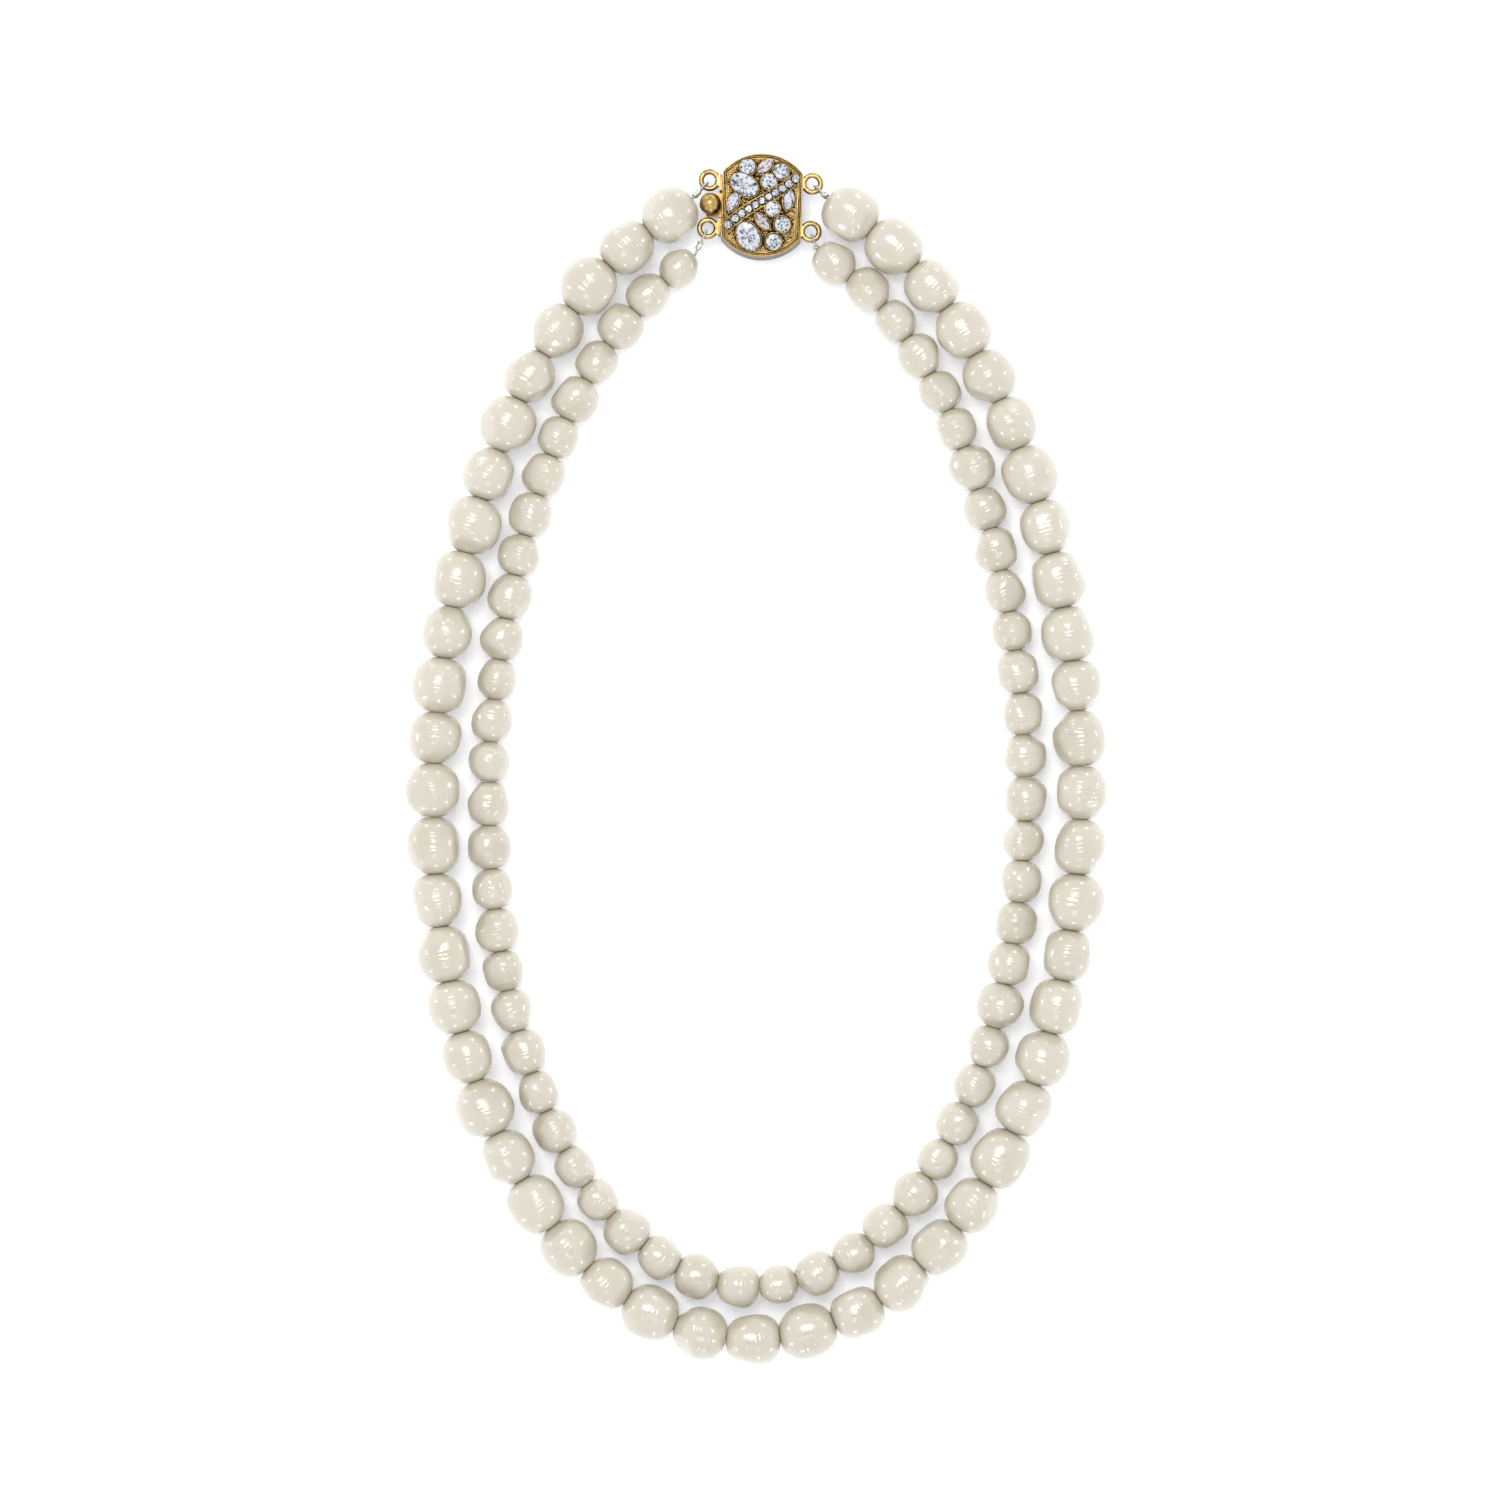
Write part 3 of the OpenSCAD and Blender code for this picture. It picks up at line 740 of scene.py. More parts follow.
def add_bead(height, x, y, px, py, radius, rise, level=0.0):
    """Raises a round bead out of a height grid."""
    near = (abs(x - px) < radius) & (abs(y - py) < radius)
    square = 1 - ((x[near] - px) ** 2 + (y[near] - py) ** 2) / radius ** 2
    bead = level + rise * np.sqrt(np.clip(square, 0, 1))
    height[near] = np.where(square > 0, np.maximum(height[near], bead), height[near])


def row_y(x):
    return ROW_RISE + ROW_SLOPE * x + ROW_CURVE * x ** 3


def row_distance(x, y):
    """Signed distance from the wavy row's middle line."""
    slope = ROW_SLOPE + 3 * ROW_CURVE * x ** 2
    return (y - row_y(x)) / np.sqrt(1 + slope ** 2)


# Heights of the cast decoration over the plain dome.
GROUND, CHANNEL_FLOOR = -0.10, -0.06
GRAIN_CELL, GRAIN_ROW, GRAIN_SHIFT = 0.5, 0.87, 0.2
GRAIN_RADIUS, GRAIN_RISE = (0.18, 0.30), (0.16, 0.28)
CHANNEL_HALF, RIB_AWAY, RIB_HALF, RIB_RISE = 0.86, 0.95, 0.21, 0.38
BAR_HALF, BAR_RISE, BAR_REACH = 0.11, 0.22, 0.9
ROW_BEAD_AWAY, ROW_BEAD_R, ROW_BEAD_RISE, ROW_BEAD_LEVEL = 0.56, 0.24, 0.36, 0.12
CLAW_R, CLAW_RISE, CLAW_LEVEL, CLAW_AWAY = 0.27, 0.34, 0.30, 0.10
BAND_EDGE, BAND_MIDDLE, BAND_HALF, BAND_RISE = 0.36, 0.20, 0.12, 0.12
MILGRAIN_MIDDLE, MILGRAIN_HALF, MILGRAIN_RISE, MILGRAIN_WAVES = 0.52, 0.17, 0.2, 56


def cover_relief(x, y, edge):
    """Height of the cast decoration over the plain dome, on the cover's grid."""
    draw = random.Random("cover grains")
    relief = np.full(x.shape, GROUND)
    gem_distance = np.min([g.distance(x, y) for g in large_gems], axis=0)
    row_away = row_distance(x, y)
    # a cast ground of small uneven grains
    for i in range(-15, 16):
        for j in range(-22, 23):
            px = (i + 0.5 * (j % 2) + draw.uniform(-GRAIN_SHIFT, GRAIN_SHIFT)) * GRAIN_CELL
            py = (j * GRAIN_ROW + draw.uniform(-GRAIN_SHIFT, GRAIN_SHIFT)) * GRAIN_CELL
            radius, rise = draw.uniform(*GRAIN_RADIUS), draw.uniform(*GRAIN_RISE)
            add_bead(relief, x, y, px, py, radius, rise, CHANNEL_FLOOR)
    # the settings' thin walls
    wall = SETTING_HEIGHT * smooth(BEZEL_WIDTH + 0.10, BEZEL_WIDTH - 0.10, gem_distance)
    relief = np.maximum(relief, wall - 0.03)
    # the row's channel between two raised ribs
    relief = np.where((abs(row_away) < CHANNEL_HALF) & (gem_distance > 0.1), CHANNEL_FLOOR, relief)
    rib = RIB_RISE * ridge(abs(row_away) - RIB_AWAY, RIB_HALF)
    relief = np.maximum(relief, np.where(gem_distance > 0.02, rib, -1))
    # cross bars and gripping beads between the row's stones
    for a, b in zip(row_gems, row_gems[1:]):
        mx, my = (a.middle + b.middle) / 2
        way = unit(b.middle - a.middle)
        bar = BAR_RISE * ridge((x - mx) * way[0] + (y - my) * way[1], BAR_HALF)
        between = (abs(row_away) < BAR_REACH) & (gem_distance > 0.05)
        relief = np.where(between, np.maximum(relief, bar), relief)
        for side in (-ROW_BEAD_AWAY, ROW_BEAD_AWAY):
            px, py = mx - side * way[1], my + side * way[0]
            add_bead(relief, x, y, px, py, ROW_BEAD_R, ROW_BEAD_RISE, ROW_BEAD_LEVEL)
    # gripping beads and claws around the large stones
    for gem in large_gems:
        if gem in round_gems:
            count, start = 4, draw.uniform(0.3, 1.0)
        elif gem in oval_gems:
            count, start = 6, 0.45
        else:
            count, start = 2, 0.0
        angles = start + np.arange(count) * 2 * math.pi / count
        for du, dv in zip(*gem.outline(angles, 1 + CLAW_AWAY / gem.width)):
            px, py = gem.middle[0] + du, gem.middle[1] + dv
            add_bead(relief, x, y, px, py, CLAW_R, CLAW_RISE, CLAW_LEVEL)
    # a smooth border band with a fine beaded line inside it
    band = BAND_RISE * ridge(edge - BAND_MIDDLE, BAND_HALF)
    relief = np.where(edge < BAND_EDGE, np.maximum(band, -0.14), relief)
    grains = abs(np.sin(np.arctan2(y, x) * MILGRAIN_WAVES)) ** 0.6
    milgrain = MILGRAIN_RISE * grains * ridge(edge - MILGRAIN_MIDDLE, MILGRAIN_HALF)
    on_line = (abs(edge - MILGRAIN_MIDDLE) < MILGRAIN_HALF) & (gem_distance > 0.25)
    return np.where(on_line, np.maximum(relief, milgrain), relief)


# Seats for the stones: the gap round a stone, the seat's level, its depth and how far its slope reaches.
SEAT_GAP = -0.02
LARGE_SEAT_LEVEL, LARGE_SEAT_DEPTH = 0.05, 1.15
ROW_SEAT_LEVEL, ROW_SEAT_DEPTH, ROW_SEAT_REACH = -0.1, 0.6, 0.35
NO_SEAT = 9
CAVITY_REACH, CAVITY_GAIN, CAVITY_LEAST, CAVITY_SIDE = 4, 7.5, 0.18, 0.6


def build_cover():
    """The cast cover: a height grid over the dome, closed down to the box."""
    columns = 2 * int(COVER_HALF_WIDTH / COVER_STEP) + 1
    rows = 2 * int(COVER_R / COVER_STEP) + 1
    across_cover = np.linspace(-COVER_HALF_WIDTH, COVER_HALF_WIDTH, columns)
    x, share = np.meshgrid(across_cover, np.linspace(-1, 1, rows), indexing="ij")
    y = share * np.sqrt(COVER_R ** 2 - x ** 2)
    edge = np.minimum(COVER_HALF_WIDTH - abs(x), COVER_R - np.hypot(x, y))
    relief = cover_relief(x, y, edge)
    # cavity: darker where the relief lies below its blurred surroundings, partly patina and partly painted
    # shade in the recesses
    cavity = np.clip((blurred(relief, CAVITY_REACH) - relief) * CAVITY_GAIN + CAVITY_LEAST, 0, 1)
    # each stone's seat: a thin dark gap, then a cup below the girdle
    seats = [(gem, LARGE_SEAT_LEVEL, LARGE_SEAT_DEPTH, 0.5 * gem.width) for gem in large_gems]
    seats += [(gem, ROW_SEAT_LEVEL, ROW_SEAT_DEPTH, ROW_SEAT_REACH) for gem in row_gems]
    for gem, level, depth, reach in seats:
        inside = -gem.distance(x, y)
        cup = np.where(inside > SEAT_GAP, level - depth * smooth(SEAT_GAP, reach, inside), NO_SEAT)
        relief = np.minimum(relief, cup)
    # painted shade: a thin dark ring is painted round every stone, in the gap of its seat
    seat = np.min([gem.distance(x, y) for gem in large_gems + row_gems], axis=0)
    cavity = np.maximum(cavity, smooth(0.06, SEAT_GAP, seat))
    z = np.maximum(dome_height(x, y) + relief, CASE_TOP + 0.06)
    top = np.stack([x, y, z], -1).reshape(-1, 3)
    faces = [face[::-1] for face in grid_faces(columns, rows, wrap_columns=False)]
    # the grid's border goes straight down to the box and is closed underneath
    index = np.arange(columns * rows).reshape(columns, rows)
    border = np.concatenate([index[:-1, 0], index[-1, :-1], index[1:, -1][::-1], index[0, 1:][::-1]])
    under = top[border].copy()
    under[:, 2] = CASE_TOP + 0.02
    first, count = len(top), len(border)
    for n in range(count):
        m = (n + 1) % count
        faces.append((border[m], border[n], first + n, first + m))
    faces.append(tuple(first + n for n in range(count))[::-1])
    # painted shade: the cover's upright side walls are painted fairly dark
    cavity = np.concatenate([cavity.reshape(-1), np.full(count, CAVITY_SIDE)])
    cover = make_mesh("cover_cast_dome", clasp_place(np.vstack([top, under])), faces, cast_gold,
                      values={"cavity": cavity})
    for side_face in list(cover.data.polygons)[-count - 1:]:
        side_face.use_smooth = False
    settle(cover, "clasp_case", "case_top")


build_cover()


RIM_INSET = 0.01
ARC_POINTS, SIDE_POINTS = 110, 64
# The rim's cross-section, outside to inside: inset, depth under the rim's top (None: on the box), beading.
RIM_PROFILE = [
    (0.00, None, 0), (0.00, 0.20, 0), (0.03, 0.09, 0), (0.09, 0.02, 0), (0.17, 0, 0),
    (0.25, 0.02, 0), (0.31, 0.09, 0), (0.35, 0.19, 0), (0.39, 0.23, 0),
    (0.43, 0.19, 0.4), (0.47, 0.13, 1), (0.54, 0.10, 1), (0.61, 0.13, 1),
    (0.66, 0.22, 0.4), (0.69, 0.32, 0), (0.69, None, 0)
]
PROFILE_WIDTH = 0.7
# how dark the rim's groove and its ridges are painted: partly patina, partly painted shade in the groove
GROOVE_FROM, GROOVE_TO, GROOVE_DARK, RIDGE_DARK = 0.34, 0.44, 0.95, 0.2
BEAD_PITCH, BEAD_CUT = 0.42, 0.1


def clasp_outline(inset):
    """The clasp's outline moved inwards, always with the same number of points."""
    r, w = CLASP_R - inset, CLASP_HALF_WIDTH - inset
    corner = math.acos(w / r)
    reach = r * math.sin(corner)
    points = []
    for start, x, y in ((corner, -w, reach), (math.pi + corner, w, -reach)):
        arc = np.linspace(start, start + math.pi - 2 * corner, ARC_POINTS, endpoint=False)
        points += [(r * math.cos(a), r * math.sin(a)) for a in arc]
        points += [(x, v) for v in np.linspace(y, -y, SIDE_POINTS, endpoint=False)]
    return np.array(points)


def build_rim():
    """A double ridge with a groove between, its inner ridge cut into fine beads."""
    around = len(clasp_outline(0))
    outline = clasp_outline(0.3)
    steps = np.linalg.norm(np.roll(outline, -1, axis=0) - outline, axis=1)
    travelled = np.concatenate([[0], np.cumsum(steps)[:-1]])
    beads = np.round(steps.sum() / BEAD_PITCH)
    beading = abs(np.sin(travelled / steps.sum() * math.pi * beads)) ** 0.5
    rings, cavity = [], []
    for inset, depth, beaded in RIM_PROFILE:
        z = CASE_TOP if depth is None else RIM_TOP - depth
        ring = clasp_outline(RIM_INSET + inset * RIM_WIDTH / PROFILE_WIDTH)
        rings.append(np.column_stack([ring, z + BEAD_CUT * beaded * (beading - 1)]))
        # the groove and the gaps between the beads are painted dark: partly patina, partly painted shade
        if GROOVE_FROM < inset < GROOVE_TO:
            cavity.append(np.full(around, GROOVE_DARK))
        else:
            cavity.append(0.6 * (1 - beading) + 0.15 if beaded else np.full(around, RIDGE_DARK))
    faces = grid_faces(len(RIM_PROFILE), around, wrap_rows=True)
    rim = make_mesh("cover_double_rim", clasp_place(np.vstack(rings)), faces, cast_gold,
                    values={"cavity": np.concatenate(cavity)})
    settle(rim, "clasp_case", "case_rim")


build_rim()


# ---------------- crystals


def gem_points(gem, rings):
    """A gem's points from rings of (height, scale, count, first corner), and where each ring starts."""
    middle = np.array([*gem.middle, dome_height(*gem.middle)])
    lean_way = np.array([gem.middle[0], gem.middle[1], 0]) / DOME_R
    points, starts = [], []
    for height, scale, count, start in rings:
        starts.append(sum(len(p) for p in points))
        if count == 1:
            u, v = np.zeros(1), np.zeros(1)
        else:
            u, v = gem.outline((np.arange(count) + start) * 2 * math.pi / count, scale)
        # tilt the ring so that it lies square to the dome
        z = height - (u * lean_way[0] + v * lean_way[1])
        shift = height * lean_way[:2]
        points.append(np.column_stack([middle[0] + u + shift[0], middle[1] + v + shift[1], middle[2] + z]))
    return np.vstack(points), starts


def crystal_faces(starts, sides):
    """A brilliant's facets: table (split, as the back shows through), stars, kites, halves, girdle, back."""
    heart, inner, table, star, upper, lower, deep, culet = starts
    n, double = sides, 2 * sides
    faces = []
    for k in range(n):
        before, k1 = (k - 1) % n, (k + 1) % n
        # table corner k sits at even upper point 2k, star point k between corners k and k + 1
        even, odd, even1 = upper + 2 * k, upper + 2 * k + 1, upper + (2 * k + 2) % double
        faces += [(heart, inner + before, inner + k), (inner + before, table + k, inner + k),
                  (inner + k, table + k, table + k1), (table + k, star + k, table + k1),
                  (table + k, star + before, even, star + k), (star + k, even, odd), (star + k, odd, even1)]
    faces += band_faces(upper, lower, double)
    for k in range(n):
        even, odd, even1 = lower + 2 * k, lower + 2 * k + 1, lower + (2 * k + 2) % double
        faces += [(even, deep + k, odd), (odd, deep + k, even1), (deep + (k - 1) % n, culet, deep + k, even)]
    return faces


GIRDLE_SIZE, GIRDLE_ABOVE, GIRDLE_BELOW = 0.985, 0.05, 0.03
HEART_SIZE, TABLE_SIZE, STAR_SIZE, STAR_LEVEL = 0.34, 0.62, 0.80, 0.62
BACK_SIZE, BACK_LEVEL = 0.40, 0.55
FOIL_GAP, FOIL_THICK, FOIL_LIP = 0.05, 0.04, 0.06
FOIL_SIZE, FOIL_BACK_SIZE, FOIL_BACK_OUTSIDE = 0.97, 0.42, 0.45


def face_up(points, faces):
    """Turns every facet's corners so that it faces out of the closed gem."""
    middle = points.mean(0)
    turned = []
    for face in faces:
        corners = points[list(face)]
        normal = np.cross(corners[1] - corners[0], corners[2] - corners[0])
        turned.append(face if normal @ (corners.mean(0) - middle) > 0 else face[::-1])
    return turned


def build_gem(gem, sides, depth):
    """One cut stone, from the middle of its table to the tip of its back."""
    girdle, table = SETTING_HEIGHT, SETTING_HEIGHT + CROWN_HEIGHT
    points, starts = gem_points(gem, [
        (table, 0, 1, 0), (table, HEART_SIZE, sides, 0.5), (table, TABLE_SIZE, sides, 0),
        (girdle + STAR_LEVEL * CROWN_HEIGHT, STAR_SIZE, sides, 0.5),
        (girdle + GIRDLE_ABOVE, GIRDLE_SIZE, 2 * sides, 0),
        (girdle - GIRDLE_BELOW, GIRDLE_SIZE, 2 * sides, 0),
        (girdle - BACK_LEVEL * depth, BACK_SIZE, sides, 0.5), (girdle - depth, 0, 1, 0)
    ])
    return points, face_up(points, crystal_faces(starts, sides))


def build_foil(gem, sides, depth):
    """A thin mirrored cup under a crystal, faceted like the crystal's own back."""
    top = SETTING_HEIGHT - FOIL_GAP
    under = top - FOIL_THICK
    double = 2 * sides
    points, starts = gem_points(gem, [
        (top, FOIL_SIZE, double, 0), (top - BACK_LEVEL * depth, FOIL_BACK_SIZE, sides, 0.5),
        (top - depth, 0, 1, 0), (under - depth, 0, 1, 0),
        (under - BACK_LEVEL * depth, FOIL_BACK_OUTSIDE, sides, 0.5),
        (top - FOIL_LIP, GIRDLE_SIZE, double, 0)
    ])
    faces = []
    for k in range(sides):
        even, odd, even1 = 2 * k, 2 * k + 1, (2 * k + 2) % double
        # the inside of the cup, then its outside, which is wound the other way
        for (lip, deep, tip), way in ((starts[:3], 1), (starts[:2:-1], -1)):
            faces += [face[::way] for face in (
                (lip + odd, deep + k, lip + even), (lip + even1, deep + k, lip + odd),
                (lip + even, deep + k, tip, deep + (k - 1) % sides))]
    return points, faces + band_faces(starts[0], starts[-1], double)


def add_stones(name, parts, material, node=None):
    """One flat-shaded piece from several (points, faces) parts, with a random painted reflection, dark to
    white, for every facet.
    """
    points, faces = [], []
    for part_points, part_faces in parts:
        first = sum(len(p) for p in points)
        points.append(part_points)
        faces += [tuple(first + i for i in f) for f in part_faces]
    draw = random.Random(name)
    piece = make_mesh(name, clasp_place(np.vstack(points)), faces, material, smooth_faces=False)
    # painted reflections: every facet gets a random value that picks its painted shade, dark to white
    painted_glints = piece.data.attributes.new("facet", "FLOAT", "FACE")
    painted_glints.data.foreach_set("value", [draw.random() for _ in piece.data.polygons])
    settle(piece, "clasp_case", node)


# How many main facets go round each kind of stone, and how deep its back is.
GEM_CUTS = {"oval": (16, 1.25), "navette": (10, 0.75), "round": (10, 1.1), "row": (6, 0.5)}
BLUSHED = ("navette_1", "navette_4")


def build_crystals():
    """Every stone, and one common piece of foil cups under them."""
    foils = []
    for kind, gems in (("oval", oval_gems), ("navette", navette_gems)):
        for gem in gems:
            material = blush_crystal if gem.name in BLUSHED else clear_crystal
            add_stones(f"crystal_{gem.name}", [build_gem(gem, *GEM_CUTS[kind])], material, gem.name)
            foils.append(build_foil(gem, *GEM_CUTS[kind]))
    for kind, gems, name, node in (("round", round_gems, "crystal_rounds", "round_crystals"),
                                   ("row", row_gems, "crystal_row", "pave_crystals")):
        add_stones(name, [build_gem(gem, *GEM_CUTS[kind]) for gem in gems], clear_crystal, node)
        foils += [build_foil(gem, *GEM_CUTS[kind]) for gem in gems]
    add_stones("crystal_foils", foils, foil)


build_crystals()


# ---------------- strand ends

# Sizes from here on are metres again.
GUARD_LOOP_R, GUARD_R = 0.95 * MM, 0.28 * MM
COIL_WIRE_R, COIL_PITCH = 0.075 * MM, 0.165 * MM
COIL_STEPS, COIL_CORNERS = 11, 6
LOOP_STEPS, TAIL_STEPS, TAIL_GAP = 60, 12, 0.1 * MM
RING_R = 1.55 * MM
CRIMP_R, CRIMP_BORE_R = 0.62 * MM, 0.33 * MM
CRIMP_SETBACK, CRIMP_LONGEST, CRIMP_CLEARANCE = 0.35 * MM, 1.5 * MM, 0.3 * MM
CRIMP_CORNERS, CRIMP_PINCH = 40, 0.20
# the crimp's barrel from end to end: share of its length, share of its radius
CRIMP_PROFILE = [(0.0, 0.80), (0.05, 0.92), (0.13, 1.0), (0.22, 0.97), (0.32, 0.90), (0.5, 0.86),
                 (0.68, 0.90), (0.78, 0.97), (0.87, 1.0), (0.95, 0.92), (1.0, 0.80)]
END_CLEARANCE = 0.13 * MM
UPWARDS = np.array([0, 0, 1])


def joint_place(name):
    return np.array(next(j["pos_m"] for j in frame["joints"] if j["name"] == name))


def coil_on(path, radius, wire, pitch, side):
    """A closely wound coil along a path that lies in one upright plane."""
    path = np.array(path)
    steps = np.linalg.norm(np.diff(path, axis=0), axis=1)
    travelled = np.concatenate([[0], np.cumsum(steps)])
    count = int(travelled[-1] / pitch * COIL_STEPS)
    s = np.linspace(0, travelled[-1], count)
    middle = np.stack([np.interp(s, travelled, path[:, k]) for k in range(3)], -1)
    tangent = np.gradient(middle, axis=0)
    tangent /= np.linalg.norm(tangent, axis=1)[:, None]
    normal = np.cross(tangent, side)
    turn = 2 * math.pi * s / pitch
    helix = middle + radius * (np.cos(turn)[:, None] * side + np.sin(turn)[:, None] * normal)
    forward = np.gradient(helix, axis=0)
    forward /= np.linalg.norm(forward, axis=1)[:, None]
    outwards = (helix - middle) / radius
    other = np.cross(forward, outwards)
    rings = [helix + wire * (math.cos(a) * outwards + math.sin(a) * other) for a in circle(COIL_CORNERS)]
    points = np.stack(rings, 1).reshape(-1, 3)
    faces = grid_faces(count, COIL_CORNERS)
    faces.append(tuple(reversed(range(COIL_CORNERS))))
    faces.append(tuple((count - 1) * COIL_CORNERS + k for k in range(COIL_CORNERS)))
    return points, faces


def build_end(name, ring, pearl, sign, body):
    """The coil-guarded loop through a ring and the crimp beside the first pearl."""
    face = pearl.centre - sign * pearl.axis * (pearl.half + END_CLEARANCE)
    way = unit(face - ring)
    flat = unit(np.array([face[0] - ring[0], face[1] - ring[1], 0]))
    side = np.array([-flat[1], flat[0], 0])
    middle = ring + RING_R * flat
    path = []
    for n in range(LOOP_STEPS + 1):
        a = 2 * math.pi * n / LOOP_STEPS
        path.append(middle + GUARD_LOOP_R * (math.cos(a) * flat + math.sin(a) * UPWARDS))
    start = ring + (RING_R + GUARD_LOOP_R) * way
    for share in np.linspace(0.05, 1, TAIL_STEPS):
        path.append(start + share * (face - TAIL_GAP * way - start))
    points, faces = coil_on(path, GUARD_R - COIL_WIRE_R, COIL_WIRE_R, COIL_PITCH, side)
    coil = make_mesh(f"wire_guard_{name}", points, faces, silver_wire)
    settle(coil, body, f"guard_{name}")
    near = start + CRIMP_SETBACK * way
    length = min(np.linalg.norm(face - near) - CRIMP_CLEARANCE, CRIMP_LONGEST)
    side, up = across(way)
    angles = circle(CRIMP_CORNERS)
    tall, wide = np.outer(np.cos(angles), up), np.outer(np.sin(angles), side)
    # the barrel is pinched flat in its middle; its bore is round
    rings = []
    for share, size in CRIMP_PROFILE:
        pinch = 1 - CRIMP_PINCH * math.sin(math.pi * share) ** 2
        rings.append(near + share * length * way + CRIMP_R * size * (pinch * tall + wide))
    rings += [near + share * length * way + CRIMP_BORE_R * (tall + wide) for share in (1.0, 0.0)]
    faces = grid_faces(len(rings), CRIMP_CORNERS, wrap_rows=True)
    crimp = make_mesh(f"pinched_crimp_{name}", np.vstack(rings), faces, crimp_metal)
    settle(crimp, body, f"crimp_{name}")


outer_right, inner_right = joint_place("strand_open"), joint_place("inner_flex_1")
outer_left = joint_place("tongue_swivel")
inner_left = outer_left + inner_right - outer_right
build_end("outer_right", outer_right, outer_pearls[0], 1, "outer_1")
build_end("inner_right", inner_right, inner_pearls[0], 1, "inner_1")
build_end("outer_left", outer_left, outer_pearls[-1], -1, "outer_8")
build_end("inner_left", inner_left, inner_pearls[-1], -1, "inner_8")

# ---------------- release ball

# Millimetres in the clasp's own frame.
COLLAR_SPREAD, COLLAR_FLARE, COLLAR_FADE, COLLAR_STEP = 1.12, 0.06, 0.08, 0.10
BALL_ROWS, BALL_CORNERS = 40, 72


def build_ball():
    """The release ball with the small soldered collar it stands on."""
    points = in_clasp("release_ball")
    x, y = ((points.max(0) + points.min(0)) / 2)[:2]
    radius = np.ptp(points[:, 0]) / 2
    foot, top = points[:, 2].min(), points[:, 2].max()
    centre_z = top - radius
    lowest = math.acos((centre_z - foot) / radius)
    profile = [(math.sin(lowest) * radius * COLLAR_SPREAD, foot)]
    for angle in np.linspace(lowest + COLLAR_STEP, math.pi, BALL_ROWS, endpoint=False):
        flare = COLLAR_FLARE * math.exp(-((angle - lowest - COLLAR_STEP) / COLLAR_FADE) ** 2)
        profile.append((radius * math.sin(angle) + flare, centre_z - radius * math.cos(angle)))
    angles = circle(BALL_CORNERS)
    rings = [np.column_stack([x + r * np.cos(angles), y + r * np.sin(angles), np.full(BALL_CORNERS, z)])
             for r, z in profile]
    points = np.vstack([*rings, [[x, y, foot], [x, y, top]]])
    faces = grid_faces(len(profile), BALL_CORNERS)
    last = (len(profile) - 1) * BALL_CORNERS
    for k in range(BALL_CORNERS):
        k1 = (k + 1) % BALL_CORNERS
        faces.append((k1, k, len(points) - 2))
        faces.append((last + k, last + k1, len(points) - 1))
    ball = make_mesh("soldered_release_ball", clasp_place(points), faces, polished_gold)
    settle(ball, "release", "release_ball")


build_ball()

# ---------------- frame nodes

# The CAD nodes that stay in sight; the others are replaced above.
SHADED = ("case_body", "tongue_plate", "release_leaf")
for name, node in frame["nodes"].items():
    if name.startswith("wire_"):
        choice = silver_wire
    else:
        choice = shaded_gold if name in SHADED else antique_gold
    node.data.materials.clear()
    node.data.materials.append(choice)

# ---------------- floor, light, camera

VIEW_WIDTH = 0.2775
VIEW_CENTRE = Vector((-0.0020, 0.0019, 0.005))
LENS = 100.0
SENSOR = 36.0
CAMERA_HEIGHT = VIEW_WIDTH * LENS / SENSOR

camera_data = bpy.data.cameras.new("camera")
camera_data.lens = LENS
camera_data.sensor_width = SENSOR
camera = bpy.data.objects.new("camera", camera_data)
bpy.context.scene.collection.objects.link(camera)
camera.location = VIEW_CENTRE + Vector((0, 0, CAMERA_HEIGHT))
bpy.context.scene.camera = camera


def floor_material():
    """A white table with a faint cool glow, as of a light table, which keeps the shadows pale."""
    material, nodes, inputs = new_material(
        "white_table", Roughness=0.8, Emission_Color=(0.86, 0.90, 1.0, 1), Emission_Strength=0.27)
    tones = [(0.3, (0.945, 0.945, 0.95)), (0.7, (0.96, 0.96, 0.96))]
    nodes.feed(inputs["Base Color"], nodes.ramp(nodes.noise(scale=40, detail=2), tones))
    return material


FLOOR_HALF = 4.0
floor_corners = [(FLOOR_HALF * x, FLOOR_HALF * y, 0) for x, y in ((-1, -1), (1, -1), (1, 1), (-1, 1))]
floor = make_mesh("floor", floor_corners, [(0, 1, 2, 3)], floor_material())


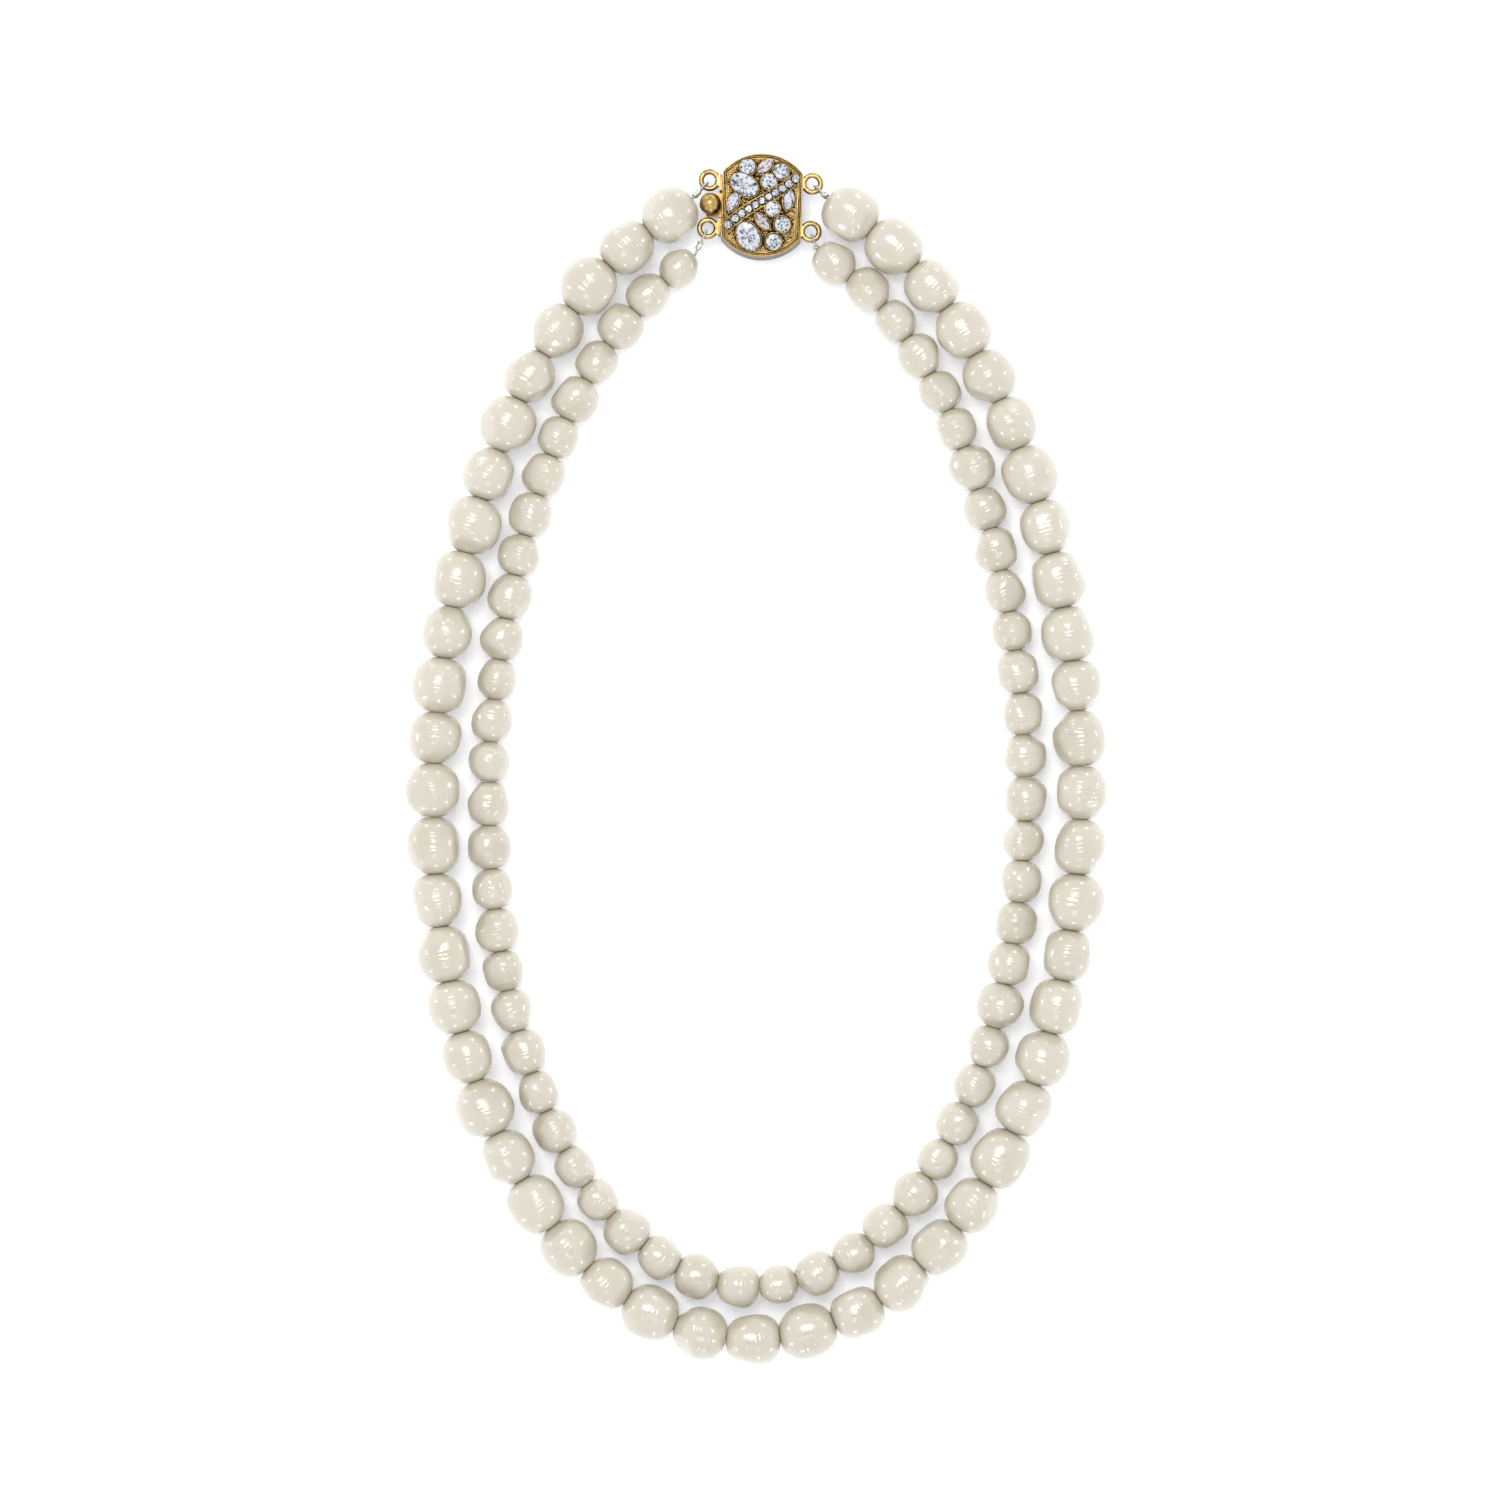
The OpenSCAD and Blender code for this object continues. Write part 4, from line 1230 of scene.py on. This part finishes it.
def area_light(name, place, size, power, color=(1, 1, 1)):
    """A rectangular lamp at a place, turned to the middle of the table."""
    data = bpy.data.lights.new(name, "AREA")
    data.shape = "RECTANGLE"
    data.size, data.size_y = size
    data.energy = power
    data.color = color
    light = bpy.data.objects.new(name, data)
    light.location = place
    light.rotation_mode = "QUATERNION"
    light.rotation_quaternion = Vector(place).to_track_quat("Z", "Y")
    bpy.context.scene.collection.objects.link(light)


area_light("key_softbox", (-0.07, 0.25, 0.93), (0.46, 0.46), 3.3, (1.0, 0.98, 0.94))
area_light("key_lamp", (-0.22, 0.28, 0.92), (0.22, 0.22), 0.8, (1.0, 0.975, 0.93))
area_light("front_softbox", (0.02, -0.40, 0.86), (0.30, 0.20), 0.5)
# small low lamps all round give the pearls their points of light near the edge
LOW_LAMPS = 7
LOW_LAMP_AWAY, LOW_LAMP_HEIGHT, LOW_LAMP_SIZE, LOW_LAMP_POWER = 1.2, 0.24, (0.08, 0.08), 0.8
for n in range(LOW_LAMPS):
    bearing = 2 * math.pi * (n + 0.3) / LOW_LAMPS
    lamp_place = (LOW_LAMP_AWAY * math.cos(bearing), LOW_LAMP_AWAY * math.sin(bearing), LOW_LAMP_HEIGHT)
    area_light(f"low_lamp_{n}", lamp_place, LOW_LAMP_SIZE, LOW_LAMP_POWER)

world = bpy.data.worlds.new("studio")
bpy.context.scene.world = world
world.use_nodes = True
sky = Nodes(world.node_tree)
height = sky.new("ShaderNodeSeparateXYZ")
sky.feed(height.inputs["Vector"], sky.coords["Generated"])
background = world.node_tree.nodes["Background"].inputs
# pale walls all round under a dim ceiling, so that metal has something dark to reflect
sky.feed(background["Color"], sky.ramp(height.outputs["Z"], [
    (0.0, (0.88, 0.92, 1.0)), (0.55, (0.87, 0.905, 0.98)), (0.9, (0.81, 0.845, 0.92)),
    (0.95, (0.74, 0.77, 0.84)), (0.975, (0.12, 0.12, 0.12))]))
background["Strength"].default_value = 1.10

bpy.context.scene.view_settings.view_transform = "Standard"
bpy.context.scene.view_settings.look = "None"
